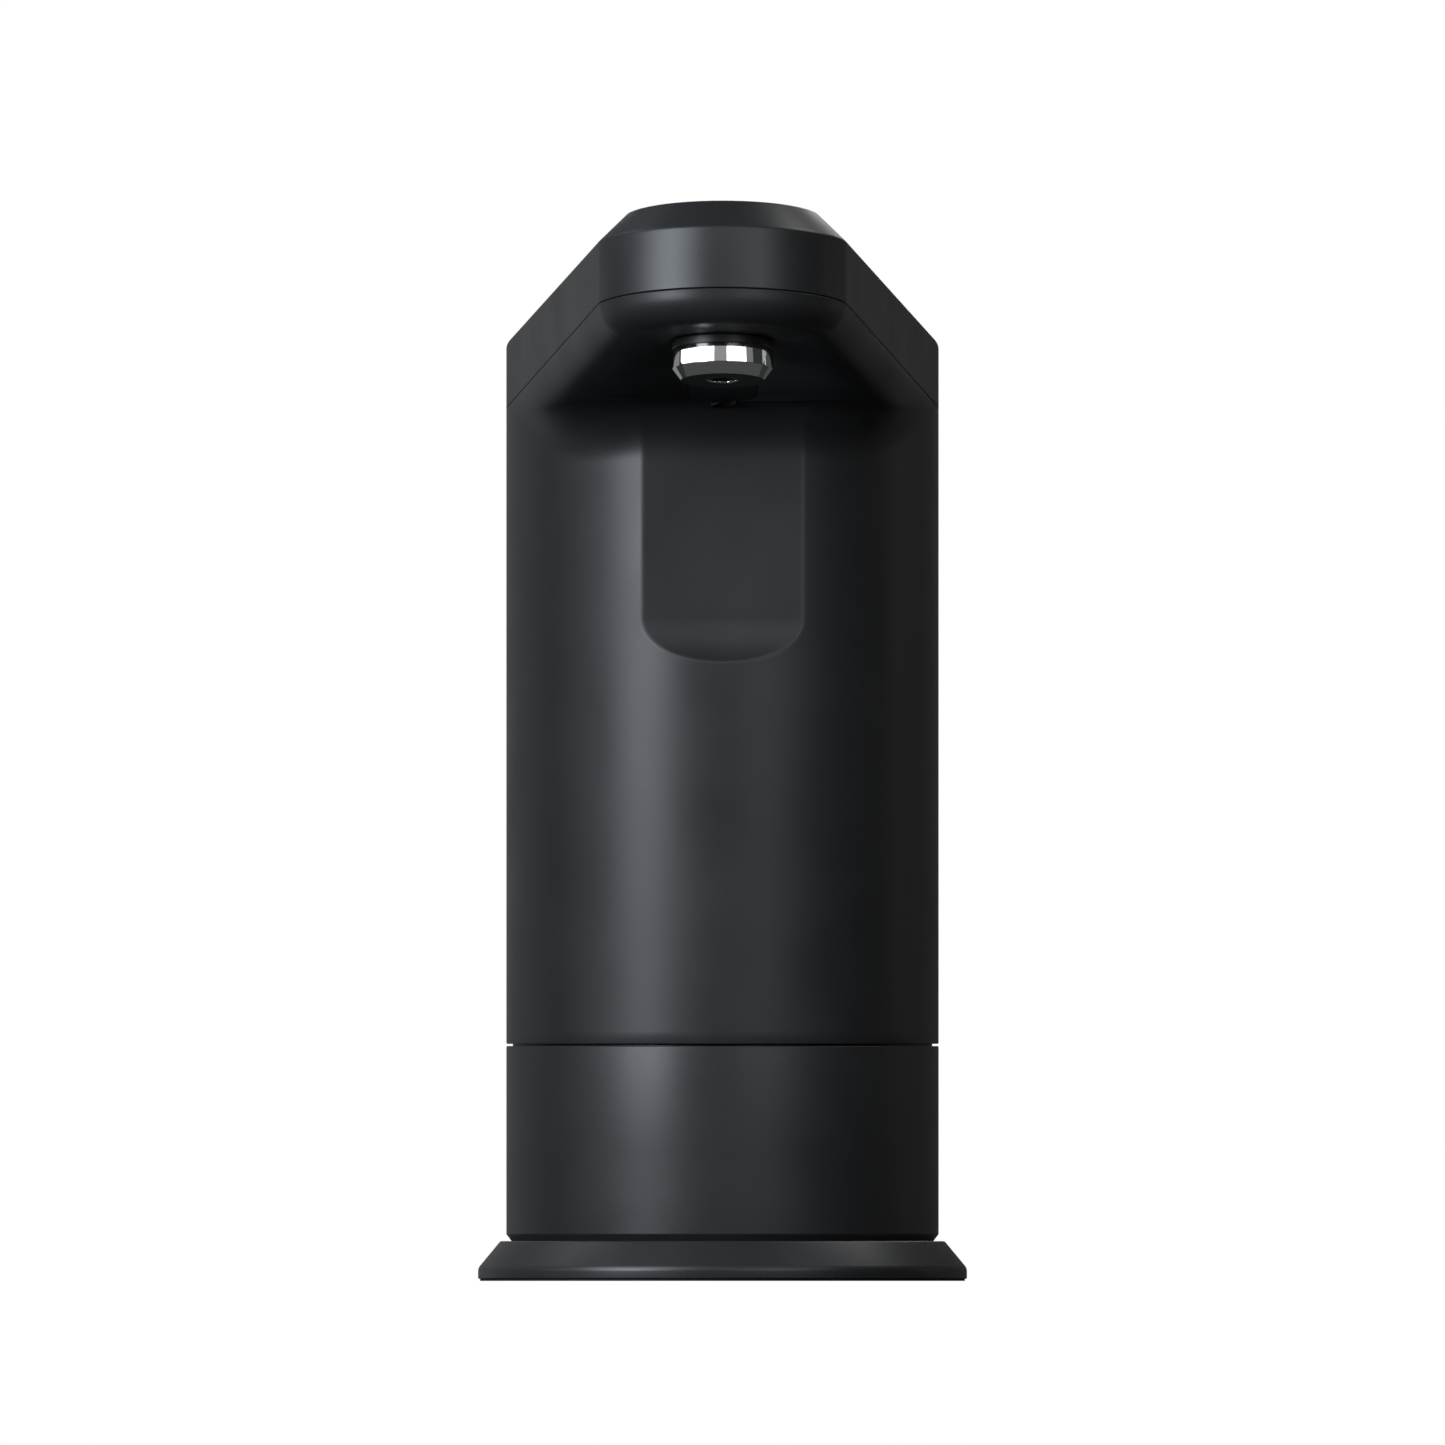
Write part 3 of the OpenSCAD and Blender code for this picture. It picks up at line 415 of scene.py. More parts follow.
def make_column_housing():
    """Column with its tank bay, the fillets and the head's lower shell, as one moulding."""
    shelf = TANK_LOW - BAY_GAP
    bay_top = TANK_TOP + BAY_GAP
    bay_angle = math.pi / 2 + math.asin((TANK_FRONT - BAY_GAP) / COLUMN_R)
    half = column_angles(bay_angle)
    thetas = np.concatenate([-half[1:][::-1], half])
    heights = np.concatenate([
        np.linspace(bay_top, 262, 12), np.linspace(262, 238, 61)[1:],
        np.linspace(238, shelf, 12)[1:], [97, COLUMN_FOOT + 0.5]])
    shares = (0.2, 0.45, 0.7, 0.9)
    builder = Builder()
    columns, uppers = [], []
    for theta in thetas:
        side = math.copysign(1, theta)
        t = abs(theta)
        rows, concave = shell_rows(t, side)
        foot = np.array(concave[-1])
        out = np.array([math.sin(t) * side, -math.cos(t)])
        column = list(concave)
        for share in shares:
            z = foot[2] + (bay_top - foot[2]) * share
            column.append((*(out * wall_radius(np.array(t), np.array(z))), z))
        for z in heights:
            column.append((*(out * wall_radius(np.array(t), np.array(z))), z))
        column.append((*(out * (COLUMN_R - 0.12)), COLUMN_FOOT + 0.12))
        column.append((*(out * (COLUMN_R - 0.5)), COLUMN_FOOT))
        columns.append(column)
        uppers.append(rows)
    lower = np.array(columns).transpose(1, 0, 2)
    first = CONCAVE_STEPS + len(shares)
    at_shelf = int(np.argmin(abs(heights - shelf)))

    def in_bay(i, j):
        mid = abs(thetas[j] + thetas[j + 1]) / 2
        return mid > bay_angle and first <= i < first + at_shelf

    builder.grid(lower, skip=in_bay)
    # wall between the split and the fillet, past the ends of the underside
    upper = np.array(uppers).transpose(1, 0, 2)
    builder.grid(upper, skip=lambda i, j: abs(thetas[j] + thetas[j + 1]) / 2 < THETA_0)
    # outer strip of the head: nose and flanks
    rows = []
    reach = COLUMN_R / math.cos(THETA_T - THETA_0)
    out = np.array([math.sin(THETA_0), -math.cos(THETA_0)])
    for inset, w in EDGE_ROWS + convex_rows(math.pi / 2):
        end = out * (reach - inset / math.cos(THETA_T - THETA_0))
        end = np.array([end[0], end[1] / COS_T])
        nose = nose_part(inset + (NOSE_PULL if w < -EDGE else 0), end)
        t = np.linspace(0, 1, 20)[1:, None]
        right = np.concatenate([nose, nose[-1] * (1 - t) + end * t])
        path = np.concatenate([right[1:][::-1] * [-1, 1], right])
        rows.append(tilted(np.column_stack([path, np.full(len(path), w)])))
    builder.grid(rows)
    # flat underside with the hole for the nozzle and the service cover
    inner = rows[-1]
    arc = [p for p, t in zip(lower[0], thetas) if abs(t) <= THETA_0 + 1e-9]
    outer = list(inner) + list(reversed(arc[1:-1]))
    builder.plate([outer, service_loop(SERVICE_R + FIT, 17.0, -LOWER_H)])
    piece = builder.make("column_shell", 30)
    solidify(piece, SHELL_WALL)
    return piece


def service_loop(r, nozzle_r, w):
    """Outline of the service cover joined to the nozzle's bore."""
    open_a = math.asin(r / nozzle_r)
    a = np.linspace(math.pi / 2 + open_a, math.pi * 2.5 - open_a, 60)
    front = np.stack([nozzle_r * np.cos(a), -NOSE_V + nozzle_r * np.sin(a)], -1)
    b = np.linspace(0, math.pi, 40)
    rear = np.stack([r * np.cos(b), -SERVICE_END + r * np.sin(b)], -1)
    loop = np.concatenate([front, rear])
    return tilted(np.column_stack([loop, np.full(len(loop), w)]))


# ---------- pieces under and inside the head ----------
def make_service_cover():
    bore = NOZZLE_R + FIT
    builder = Builder()

    def outline(inset, w):
        r = SERVICE_R - inset
        open_a = math.asin(r / bore)
        b = np.linspace(0, math.pi, 48)
        rear = np.stack([r * np.cos(b), -SERVICE_END + r * np.sin(b)], -1)
        a = np.linspace(math.pi / 2 + open_a, math.pi / 2 - open_a, 14)
        front = np.stack([bore * np.cos(a), -NOSE_V + bore * np.sin(a)], -1)
        loop = np.concatenate([rear, front])
        return tilted(np.column_stack([loop, np.full(len(loop), w)]))

    low, high = -LOWER_H, -LOWER_H + 2
    rows = [outline(0.15, low), outline(0, low + 0.15), outline(0, high)]
    builder.grid(rows, closed=True)
    builder.plate([rows[0]])
    builder.plate([rows[-1]])
    return builder.make("service_panel", 30)


def make_nozzle():
    """Collar, polished ring, face, outlet tube, and a dark sleeve in the tube's bore: painted shade
    that makes the hole read black.
    """
    place = at_v(-NOSE_V)
    neck = NOZZLE_R - 2.6
    collar_bore = 8.75
    collar = lathe("nozzle_collar_turned", soften([
        (collar_bore, NECK_TOP), (neck, NECK_TOP, 0), (neck, -LOWER_H - 0.3, 0.2),
        (NOZZLE_R, -LOWER_H - 0.3, 0.3), (NOZZLE_R, RING_TOP, 0.3),
        (collar_bore, RING_TOP)]), place)
    ring = lathe("nozzle_ring_polished", soften([
        (FACE_R - 0.3, RING_TOP), (NOZZLE_R, RING_TOP, 0.4), (NOZZLE_R, RING_LOW, 0.5),
        (FACE_R, NOZZLE_W, 0.1), (FACE_R - 0.3, NOZZLE_W + 0.3, 0), (FACE_R - 0.3, RING_TOP)], 8),
        place, 160, 50)
    face = lathe("nozzle_face_insert", soften([
        (OUTLET_R, RING_TOP), (OUTLET_R, NOZZLE_W, 0.1), (FACE_R - 0.02, NOZZLE_W, 0),
        (FACE_R - 0.32, NOZZLE_W + 0.3, 0), (FACE_R - 0.32, RING_TOP - 3, 0),
        (OUTLET_R, RING_TOP)]), place)
    tube = lathe("outlet_tube", soften([
        (TUBE_BORE, NECK_TOP), (TUBE_BORE, NOZZLE_W + 0.1, 0.5), (OUTLET_R, NOZZLE_W + 0.1, 0.5),
        (OUTLET_R, NECK_TOP, 0), (TUBE_BORE, NECK_TOP)]), place, 96, 50)
    # dark sleeve in the bore, stopping short of the tip: painted shade, so the hole reads black
    # under the polished lip
    painted_shade_r = 5.4
    bore = lathe("outlet_bore_painted_shade", [
        (painted_shade_r, NECK_TOP), (painted_shade_r, NOZZLE_W + 1.3), (TUBE_BORE, NOZZLE_W + 1.1),
        (TUBE_BORE, NECK_TOP), (painted_shade_r, NECK_TOP)], place, 96)
    return collar, ring, face, tube, bore


def make_dial():
    """Knurled dial ring, its mark, and the push button in its middle."""
    low = TOP_W - WELL_DEPTH + 0.25
    bore = BUTTON_R + 0.6
    hub = DIAL_R - 4

    def knurl(r, z, angle):
        ridge = 0.5 + 0.5 * np.cos(angle * 72)
        return r - 0.35 * ridge * ((r > DIAL_R - 0.8) & (z < DIAL_TOP - 0.9))

    profile = soften([
        (bore, low - 6.3), (bore, DIAL_TOP, 0.5), (bore + 1.2, DIAL_TOP, 0.4),
        (bore + 2.2, DIAL_TOP - 0.35, 0.6), (DIAL_R - 2.6, DIAL_TOP - 0.35, 0.6),
        (DIAL_R - 1.6, DIAL_TOP, 0.4), (DIAL_R, DIAL_TOP, 0.7), (DIAL_R, low, 0.3), (hub, low, 0),
        (hub, low - 5.2, 0.3), (bore, low - 6.3)])
    dial = lathe("level_dial_ring", profile, at_v(-DIAL_V), 432, 40, knurl)
    mark = lathe("dial_mark", soften([
        (0, DIAL_TOP - 0.12), (0.9, DIAL_TOP - 0.12, 0.2),
        (0.9, DIAL_TOP - 1.1), (0, DIAL_TOP - 1.1)]),
        lambda p: tilted(np.asarray(p) + [0, -DIAL_V - bore - 3.9, 0]), 32)
    button = lathe("dispense_push_button", soften([
        (0, DIAL_TOP - 1.1), (BUTTON_R - 5, DIAL_TOP - 0.85, 30),
        (BUTTON_R - 1.6, DIAL_TOP - 0.5, 1.5), (BUTTON_R, DIAL_TOP - 1.5, 1.2),
        (BUTTON_R, DIAL_TOP - 4.5, 0.3), (4, DIAL_TOP - 4.5, 0),
        (4, 16, 0.4), (0, 16)]), at_v(-DIAL_V), 128)
    return dial, mark, button


# ---------- base and lower housing ----------
def obround(inset, z):
    """Outline of the base at height z: two half circles joined by straight sides."""
    r = BASE_R - inset
    a = np.linspace(0, math.pi, 81)
    rear = np.stack([r * np.cos(a), r * np.sin(a)], -1)
    front = np.stack([-r * np.cos(a), -BASE_REACH - r * np.sin(a)], -1)
    t = np.linspace(0, 1, 12)[1:-1, None]
    left = rear[-1] * (1 - t) + front[0] * t
    right = front[-1] * (1 - t) + rear[0] * t
    loop = np.concatenate([rear, left, front, right])
    return np.column_stack([loop, np.full(len(loop), z)])


def plain(points):
    """Leaves points in the part's frame."""
    return points


def make_base_plate():
    """Bevelled plate with the dish and seat of the drip grate."""
    seat = GRATE_R + FIT
    dish = GRATE_R - 3
    wall = 3
    outer = soften([(wall, BASE_LOW), (0, BASE_LOW, 0.5), (0, BEVEL_LOW, 3.6),
                    (BEVEL_W, BASE_TOP, 1.6), (13, BASE_TOP)], 8)
    inner = [(BEVEL_W + wall, BASE_TOP - wall), (wall, 4), (wall, BASE_LOW)]
    builder = Builder()
    builder.grid([obround(*p) for p in outer], closed=True)
    builder.grid([obround(*p) for p in inner], closed=True)

    def disc(r, z):
        return circle(r, GRATE_Y, z, 128, plain)

    ledge = BASE_TOP - GRATE_H
    lip = [disc(seat + 0.4, BASE_TOP), disc(seat + 0.1, BASE_TOP - 0.1), disc(seat, BASE_TOP - 0.4),
           disc(seat, ledge), disc(dish + 0.3, ledge), disc(dish, BASE_TOP - 2.4),
           disc(dish, 7.5), disc(dish - 1, 6.5)]
    builder.plate([obround(*outer[-1]), lip[0]])
    builder.grid(lip, closed=True)
    builder.plate([lip[-1]])
    under = [disc(seat + 2, BASE_TOP - wall), disc(seat + 2, 4)]
    builder.plate([obround(*inner[0]), under[0]])
    builder.grid(under, closed=True)
    builder.plate([under[1]])
    return builder.make("base_plate_moulding", 30)


def make_lower_housing():
    """Round wall under the column, open for the power inlet, and the tongue in its seam."""
    low, high = box_mm("power_inlet")
    low_z, high_z = low[2], high[2]
    turn = math.pi - math.asin(high[0] / COLUMN_R)
    theta = np.concatenate([np.linspace(-turn, turn, 236)[:-1],
                            np.linspace(turn, 2 * math.pi - turn, 15)[:-1]])
    profile = soften([(2.2, BASE_TOP), (2, BASE_TOP, 0), (0, BASE_TOP + 2.7, 0.8),
                      (0, LOWER_TOP, 0.5), (1.0, LOWER_TOP)], 5)
    mids = [(0, z) for z in (low_z, (low_z + high_z) / 2, high_z)]
    at = next(i for i, p in enumerate(profile) if p[1] > 60)
    profile = list(map(tuple, profile[:at])) + mids + list(map(tuple, profile[at:]))
    rows = []
    for inset, z in profile:
        r = COLUMN_R - inset
        rows.append(np.stack([r * np.sin(theta), -r * np.cos(theta), np.full(len(theta), z)], -1))
    builder = Builder()

    def socket(i, j):
        mid_t = theta[j] + 0.01
        mid_z = (profile[i][1] + profile[i + 1][1]) / 2
        return mid_t > turn and low_z < mid_z < high_z and profile[i][0] == 0

    builder.grid(rows, closed=True, skip=socket)
    piece = builder.make("lower_shell", 30)
    solidify(piece, LOWER_WALL)
    inside, outside, foot, top = 79, 81.5, 84.3, 98.3
    tongue = lathe("seam_tongue", [(inside, foot), (outside, foot), (outside, top), (inside, top),
                                   (inside, foot)], None, 160)
    return piece, tongue


def make_drip_grate():
    """Round plate with straight slots."""
    slot_w = 3.0
    high, low = BASE_TOP, BASE_TOP - GRATE_H
    count = int((GRATE_R - 8) // (2 * slot_w))
    builder = Builder()

    def slot_loop(i, grow, z):
        x = i * 2 * slot_w
        r = slot_w / 2 + grow
        reach = math.sqrt((GRATE_R - 6) ** 2 - x * x) - slot_w
        a = np.linspace(0, math.pi, 9)
        top = np.stack([x + r * np.cos(a), reach + r * np.sin(a)], -1)
        loop = np.concatenate([top, np.stack([x - r * np.cos(a), -reach - r * np.sin(a)], -1)])
        return np.column_stack([loop[:, 0], loop[:, 1] + GRATE_Y, np.full(len(loop), z)])

    def disc(inset, z):
        return circle(GRATE_R - inset, GRATE_Y, z, 144, plain)

    slots = range(-count, count + 1)
    builder.plate([disc(0.5, high)] + [slot_loop(i, 0.3, high) for i in slots])
    builder.plate([disc(0.2, low)] + [slot_loop(i, 0, low) for i in slots])
    builder.grid([disc(0.5, high), disc(0.15, high - 0.15), disc(0, high - 0.5), disc(0, low + 0.2),
                  disc(0.2, low)], closed=True)
    for i in slots:
        builder.grid([slot_loop(i, 0.3, high), slot_loop(i, 0.08, high - 0.1),
                      slot_loop(i, 0, high - 0.35), slot_loop(i, 0, low)], closed=True)
    return builder.make("drip_grate_plate", 30)


# ---------- water tank ----------
def tank_outline(inset, z, corner=4.0):
    """D-shaped outline with soft corners: the arc first, then the flat face."""
    r = COLUMN_R - inset
    flat = TANK_FRONT + inset
    end = math.asin(flat / r)
    soft = corner / r
    side = math.asin(GRIP_HALF / COLUMN_R)
    half = np.concatenate([np.linspace(end + soft, math.pi / 2 - side, 36),
                           np.linspace(math.pi / 2 - side, math.pi / 2, 9)[1:]])
    a = np.concatenate([half, (math.pi - half[:-1])[::-1]])
    arc = np.stack([r * np.cos(a), r * np.sin(a)], -1)
    t = np.linspace(0, 1, 9)[1:-1, None]
    point = np.array([-r * math.cos(end), flat])
    start = np.array([-r * math.cos(end) + corner, flat])
    bend = (1 - t) ** 2 * arc[-1] + 2 * t * (1 - t) * point + t ** 2 * start
    s = np.linspace(0, 1, 16)[:, None]
    face = start * (1 - s) + start * [-1, 1] * s
    loop = np.concatenate([arc, bend, face, bend[::-1] * [-1, 1]])
    return np.column_stack([loop, np.full(len(loop), z)])


def make_water_tank():
    """Tank with a grip pocket in its rear wall, and its lid."""
    grip_low, *between, grip_high = GRIP_LEVELS
    grip_y = 70
    wall = TANK_WALL
    outer = soften([(6, TANK_LOW), (0, TANK_LOW, 3.5), (0, LID_LOW, 0.5), (1.2, LID_LOW)], 6)
    at = next(i for i, p in enumerate(outer) if p[1] > 200)
    levels = [(0, z) for z in GRIP_LEVELS]
    outer = list(map(tuple, outer[:at])) + levels + list(map(tuple, outer[at:]))
    rows = [tank_outline(*p) for p in outer]
    side = GRIP_HALF + 0.001

    def grip(i, j):
        k = (j + 1) % len(rows[0])
        mid = (rows[i][j] + rows[i + 1][k]) / 2
        return abs(mid[0]) < side and mid[1] > 60 and grip_low < mid[2] < grip_high

    builder = Builder()
    builder.grid(rows, closed=True, skip=grip)
    builder.plate([rows[0]])
    top = rows[at]
    arc = np.array([p for p in top if abs(p[0]) <= side and p[1] > 60])
    arc = arc[np.argsort(arc[:, 0])]
    loop = [(p[0], p[1], grip_low) for p in arc]
    loop += [(arc[-1][0], arc[-1][1], z) for z in between]
    loop += [(p[0], p[1], grip_high) for p in arc[::-1]]
    loop += [(arc[0][0], arc[0][1], z) for z in between[::-1]]
    loop = np.array(loop)
    middle = (grip_low + grip_high) / 2

    def sunk(inset, y):
        """The pocket's mouth drawn in by inset, and moved to depth y if that is given."""
        out = loop.copy()
        out[:, 0] -= np.sign(loop[:, 0]) * inset * (abs(loop[:, 0]) > GRIP_HALF - 1)
        out[:, 2] -= np.sign(loop[:, 2] - middle) * inset * (abs(loop[:, 2] - middle) > 9)
        if y is None:
            out[:, 1] -= inset
        else:
            out[:, 1] = y
        return out

    pocket = [sunk(0, None), sunk(0.4, None), sunk(1.0, None), sunk(1.2, grip_y + 1.4),
              sunk(2.2, grip_y)]
    builder.grid(pocket, closed=True)
    builder.plate([pocket[-1]])
    builder.grid([rows[-1], tank_outline(wall, LID_LOW), tank_outline(wall, TANK_LOW + wall)],
                 closed=True)
    builder.plate([tank_outline(wall, TANK_LOW + wall)])
    tank = builder.make("water_tank_vessel", 35)
    lid = Builder()
    profile = soften([(wall + 0.3, LID_LOW - 5), (wall + 0.3, LID_LOW, 0), (0.4, LID_LOW, 0.3),
                      (0.4, TANK_TOP, 1.6), (12, TANK_TOP, 2.0), (14, TANK_TOP - 1.2, 2.0),
                      (20, TANK_TOP - 1.2)], 6)
    bands = [tank_outline(i, z) for i, z in profile]
    lid.grid(bands, closed=True)
    lid.plate([bands[-1]])
    lid.plate([bands[0]])
    return tank, lid.make("water_tank_lid", 35)


# ---------- materials ----------
def new_material(name):
    mat = bpy.data.materials.new(name)
    mat.use_nodes = True
    nodes = mat.node_tree.nodes
    return mat, nodes, mat.node_tree.links, nodes["Principled BSDF"]


def noise(nodes, links, scale, detail=2.0, stretch=(1, 1, 1)):
    """Noise in the piece's own coordinates, in metres."""
    coords = nodes.new("ShaderNodeTexCoord")
    mapping = nodes.new("ShaderNodeMapping")
    mapping.inputs["Scale"].default_value = stretch
    links.new(coords.outputs["Object"], mapping.inputs["Vector"])
    texture = nodes.new("ShaderNodeTexNoise")
    texture.inputs["Scale"].default_value = scale
    texture.inputs["Detail"].default_value = detail
    links.new(mapping.outputs["Vector"], texture.inputs["Vector"])
    return texture


def ranged(nodes, links, source, low, high):
    """Spreads a noise's middle values over low to high."""
    node = nodes.new("ShaderNodeMapRange")
    node.inputs["From Min"].default_value = 0.3
    node.inputs["From Max"].default_value = 0.7
    node.inputs["To Min"].default_value = low
    node.inputs["To Max"].default_value = high
    links.new(source, node.inputs["Value"])
    return node.outputs["Result"]


def plastic(name, color, rough, spread=0.04, grain=900.0, depth=0.00006, strength=0.3, level=0.5,
            tint=0.08):
    """Moulded plastic: a fine spark-eroded grain with slow changes of gloss and shade."""
    mat, nodes, links, shader = new_material(name)
    shader.inputs["Specular IOR Level"].default_value = level
    slow = noise(nodes, links, 28.0, 3.0)
    links.new(ranged(nodes, links, slow.outputs["Fac"], rough - spread, rough + spread),
              shader.inputs["Roughness"])
    mix = nodes.new("ShaderNodeMix")
    mix.data_type = "RGBA"
    mix.inputs["A"].default_value = (*[c * (1 - tint) for c in color], 1)
    mix.inputs["B"].default_value = (*[c * (1 + tint) for c in color], 1)
    speck = noise(nodes, links, grain * 0.6, 2.0)
    links.new(speck.outputs["Fac"], mix.inputs["Factor"])
    links.new(mix.outputs["Result"], shader.inputs["Base Color"])
    fine = noise(nodes, links, grain, 3.0)
    bump = nodes.new("ShaderNodeBump")
    bump.inputs["Strength"].default_value = strength
    bump.inputs["Distance"].default_value = depth
    links.new(fine.outputs["Fac"], bump.inputs["Height"])
    links.new(bump.outputs["Normal"], shader.inputs["Normal"])
    return mat


def metal(name, color, rough, stretch=(1, 1, 1), scale=300.0, spread=0.03, strength=0.05):
    """Metal with a polish or brush marks, by the noise's stretch."""
    mat, nodes, links, shader = new_material(name)
    shader.inputs["Metallic"].default_value = 1.0
    marks = noise(nodes, links, scale, 3.0, stretch)
    links.new(ranged(nodes, links, marks.outputs["Fac"], rough - spread, rough + spread),
              shader.inputs["Roughness"])
    mix = nodes.new("ShaderNodeMix")
    mix.data_type = "RGBA"
    mix.inputs["A"].default_value = (*[c * 0.96 for c in color], 1)
    mix.inputs["B"].default_value = (*color, 1)
    links.new(marks.outputs["Fac"], mix.inputs["Factor"])
    links.new(mix.outputs["Result"], shader.inputs["Base Color"])
    bump = nodes.new("ShaderNodeBump")
    bump.inputs["Strength"].default_value = strength
    bump.inputs["Distance"].default_value = 0.00002
    links.new(marks.outputs["Fac"], bump.inputs["Height"])
    links.new(bump.outputs["Normal"], shader.inputs["Normal"])
    return mat


def clear_plastic(name, color, rough, transmission):
    """Plastic that lets part of the light through."""
    mat = plastic(name, color, rough, 0.02, 120.0, 0.00002, 0.08)
    shader = mat.node_tree.nodes["Principled BSDF"]
    shader.inputs["Transmission Weight"].default_value = transmission
    shader.inputs["IOR"].default_value = 1.5
    return mat


MATERIALS = {
    "shell": plastic("charcoal_plastic", (0.0135, 0.0141, 0.0150), 0.4),
    "dark_plastic": plastic("black_plastic", (0.010, 0.010, 0.0108), 0.34, 0.04, 1200.0),
    "inner_plastic": plastic("grey_inner_plastic", (0.045, 0.046, 0.048), 0.5),
    "chrome": metal("polished_chrome", (0.86, 0.87, 0.88), 0.045, spread=0.015, strength=0.0),
    "steel": metal("brushed_steel", (0.60, 0.61, 0.63), 0.27, (1, 14, 14), 160.0, 0.05, 0.03),
    "brass": metal("machined_brass", (0.72, 0.55, 0.28), 0.24, (1, 1, 8), 220.0, 0.04, 0.04),
    "rubber": plastic("black_rubber", (0.014, 0.014, 0.014), 0.7, 0.05, 500.0, 0.0001, 0.4, 0.3),
    "tank": clear_plastic("smoked_tank_plastic", (0.13, 0.14, 0.155), 0.14, 0.45),
    "cylinder_paint": plastic("satin_grey_paint", (0.36, 0.38, 0.40), 0.33, 0.05, 260.0, 0.00005,
                              0.2),
    "hose": clear_plastic("milky_hose", (0.72, 0.74, 0.75), 0.3, 0.35),
    "board": plastic("lacquered_board", (0.02, 0.12, 0.06), 0.25, 0.04, 400.0, 0.00004, 0.2),
}
# the dial's own finish, duller than the polish of its slot
SATIN = metal("satin_chrome", (0.62, 0.63, 0.64), 0.26, (1, 1, 1), 500.0, 0.03, 0.02)


def finish_piece(piece, slot, body, *nodes):
    """Material, body and the CAD nodes a piece stands for."""
    piece.data.materials.clear()
    piece.data.materials.append(MATERIALS[slot])
    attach(piece, body)
    if nodes:
        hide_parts(*nodes)


def dress_cad_nodes():
    """Gives each CAD node the material of its slot."""
    for subpart in frame["record"]["subparts"]:
        piece = frame["nodes"][subpart["node"]]
        for held in piece.material_slots:
            held.material = MATERIALS[subpart["material_slot"]]


# ---------- studio ----------
def make_camera():
    data = bpy.data.cameras.new("camera")
    data.type = "ORTHO"
    data.ortho_scale = 0.5615
    data.clip_end = 20
    camera = bpy.data.objects.new("camera", data)
    camera.location = (0, -3, 0.217)
    camera.rotation_euler = (math.pi / 2, 0, 0)
    bpy.context.scene.collection.objects.link(camera)
    bpy.context.scene.camera = camera


def area_light(name, azimuth, elevation, distance, width, height, power, color=(1, 1, 1)):
    """Soft box aimed at the machine. Azimuth 0 is the front, positive to the right."""
    data = bpy.data.lights.new(name, "AREA")
    data.shape = "RECTANGLE"
    data.size = width
    data.size_y = height
    data.energy = power
    data.color = color
    light = bpy.data.objects.new(name, data)
    a, e = math.radians(azimuth), math.radians(elevation)
    middle = Vector((0, -0.05, 0.22))
    way = Vector((math.sin(a) * math.cos(e), -math.cos(a) * math.cos(e), math.sin(e)))
    light.location = middle + way * distance
    light.rotation_euler = way.to_track_quat("Z", "Y").to_euler()
    light.visible_camera = False
    bpy.context.scene.collection.objects.link(light)


def emitting(name, strength):
    """White material that only glows."""
    mat = bpy.data.materials.new(name)
    mat.use_nodes = True
    nodes = mat.node_tree.nodes
    nodes.clear()
    glow = nodes.new("ShaderNodeEmission")
    glow.inputs["Color"].default_value = (1, 1, 1, 1)
    glow.inputs["Strength"].default_value = strength
    out = nodes.new("ShaderNodeOutputMaterial")
    mat.node_tree.links.new(glow.outputs[0], out.inputs["Surface"])
    return mat


POLISHED = bpy.data.collections.new("polished_pieces")


def panel(name, from_a, to_a, from_e, to_e, strength, all_pieces=False):
    """White panel on a sphere round the nozzle, between two azimuths and two elevations.

    It shows only as a reflection, in the polished pieces or, with all_pieces, in all of them.
    """
    a = np.radians(np.linspace(from_a, to_a, 24))
    e = np.radians(np.linspace(from_e, to_e, 6))
    r = 1300
    middle_y, middle_z = -225, 350
    rows = [np.stack([r * np.cos(t) * np.sin(a), middle_y - r * np.cos(t) * np.cos(a),
                      np.full(len(a), middle_z + r * np.sin(t))], -1) for t in e]
    builder = Builder()
    builder.grid(rows)
    piece = builder.make(name)
    piece.data.materials.append(emitting(name, strength))
    for flag in ("visible_camera", "visible_diffuse", "visible_shadow", "visible_transmission"):
        setattr(piece, flag, False)
    if not all_pieces:
        piece.light_linking.receiver_collection = POLISHED


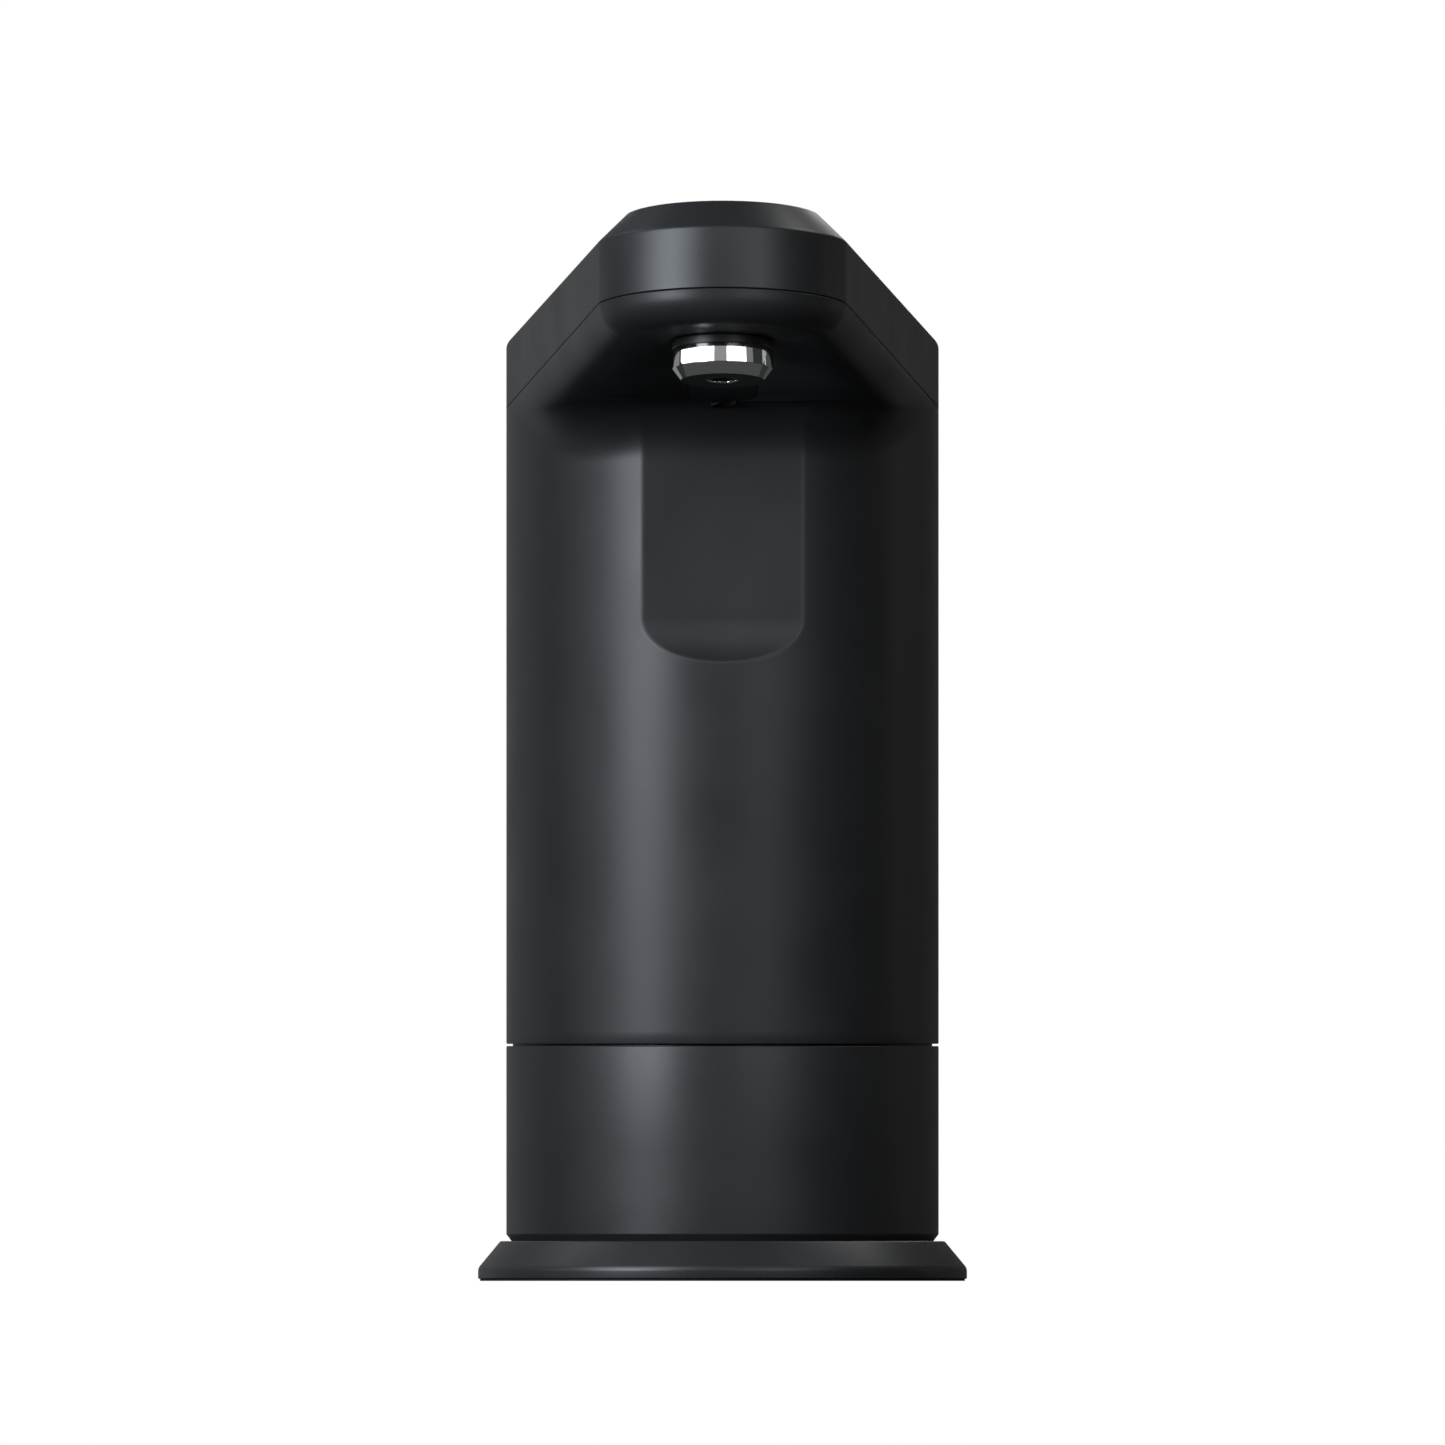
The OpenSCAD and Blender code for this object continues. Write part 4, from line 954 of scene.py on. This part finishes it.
def make_studio():
    """White surroundings for the camera, a pale floor, soft boxes and reflected panels."""
    scene = bpy.context.scene
    scene.view_settings.view_transform = "Standard"
    scene.view_settings.look = "None"
    world = bpy.data.worlds.new("studio")
    world.use_nodes = True
    world.node_tree.nodes["Background"].inputs["Color"].default_value = (0.9, 0.94, 1, 1)
    world.node_tree.nodes["Background"].inputs["Strength"].default_value = 0.035
    scene.world = world
    floor_mesh = bpy.data.meshes.new("floor")
    floor_mesh.from_pydata([(-6, -6, 0), (6, -6, 0), (6, 6, 0), (-6, 6, 0)], [], [(0, 1, 2, 3)])
    floor = bpy.data.objects.new("floor", floor_mesh)
    pale = plastic("pale_floor", (0.8, 0.8, 0.8), 0.7, 0.03, 40, 0.0, 0.0)
    pale_shader = pale.node_tree.nodes["Principled BSDF"]
    pale_shader.inputs["Emission Color"].default_value = (1, 1, 1, 1)
    pale_shader.inputs["Emission Strength"].default_value = 0.3
    floor_mesh.materials.append(pale)
    scene.collection.objects.link(floor)
    floor.visible_diffuse = False
    floor.visible_glossy = False
    far = 8000
    dome = lathe("backdrop", [(far, -far), (far, far), (0, far)], None, 48)
    dome.data.materials.append(emitting("white_backdrop", 1.0))
    for flag in ("visible_diffuse", "visible_glossy", "visible_transmission", "visible_shadow",
                 "visible_volume_scatter"):
        setattr(dome, flag, False)
    cool = (0.86, 0.93, 1.0)
    area_light("key", -43, 20, 1.5, 0.62, 0.9, 29, cool)
    area_light("left_fill", -80, 14, 1.5, 0.35, 0.9, 0.9, cool)
    area_light("left_rim", -142, 12, 1.5, 0.16, 0.9, 0.15)
    area_light("right_rim", 112, 12, 1.5, 0.16, 0.9, 0.35)
    area_light("front_fill", 22, 22, 1.6, 0.6, 0.9, 8.4)
    area_light("upper_right", 118, 54, 1.5, 0.5, 0.5, 3.2)
    area_light("upper_left", -118, 48, 1.5, 0.4, 0.5, 1.5, cool)
    area_light("rear", 175, 20, 1.7, 1.0, 0.8, 6)
    panel("ring_panel_left", -112, -20, 6, 36, 2.2)
    panel("ring_panel_middle", -20, 10, 6, 36, 0.3)
    panel("ring_panel_right", 10, 58, 6, 36, 2.2)
    panel("ring_panel_fade", 58, 76, 6, 36, 0.2)
    panel("ring_panel_edge", 106, 122, 6, 36, 0.4)
    panel("ring_panel_low", -150, 150, -62, -34, 0.07)
    panel("backdrop_left", -174, -118, -24, 14, 0.23, True)
    panel("backdrop_right", 118, 172, -24, 14, 0.07, True)


make_camera()
make_studio()
dress_cad_nodes()

finish_piece(make_head_cover(), "shell", "machine", "head_cover")
finish_piece(make_column_housing(), "shell", "machine", "column_housing")
finish_piece(make_service_cover(), "shell", "machine", "service_cover")
collar, ring, face, tube, bore = make_nozzle()
finish_piece(collar, "dark_plastic", "machine", "nozzle_collar")
finish_piece(ring, "chrome", "machine", "nozzle_ring")
finish_piece(face, "dark_plastic", "machine", "nozzle_face")
finish_piece(tube, "chrome", "machine", "nozzle_tube")
# the dark sleeve in the outlet's bore is painted shade
finish_piece(bore, "dark_plastic", "machine")
dial, mark, button = make_dial()
finish_piece(dial, "chrome", "dial", "level_dial")
dial.data.materials[0] = SATIN
finish_piece(mark, "dark_plastic", "dial")
finish_piece(button, "dark_plastic", "button", "dispense_button")
for piece in (ring, tube):
    POLISHED.objects.link(piece)
finish_piece(make_base_plate(), "shell", "machine", "base_plate")
shell, tongue = make_lower_housing()
finish_piece(shell, "shell", "machine", "lower_housing")
finish_piece(tongue, "dark_plastic", "machine")
finish_piece(make_drip_grate(), "steel", "grate", "drip_grate")
tank, lid = make_water_tank()
finish_piece(tank, "tank", "tank", "water_tank")
finish_piece(lid, "dark_plastic", "tank", "tank_lid")
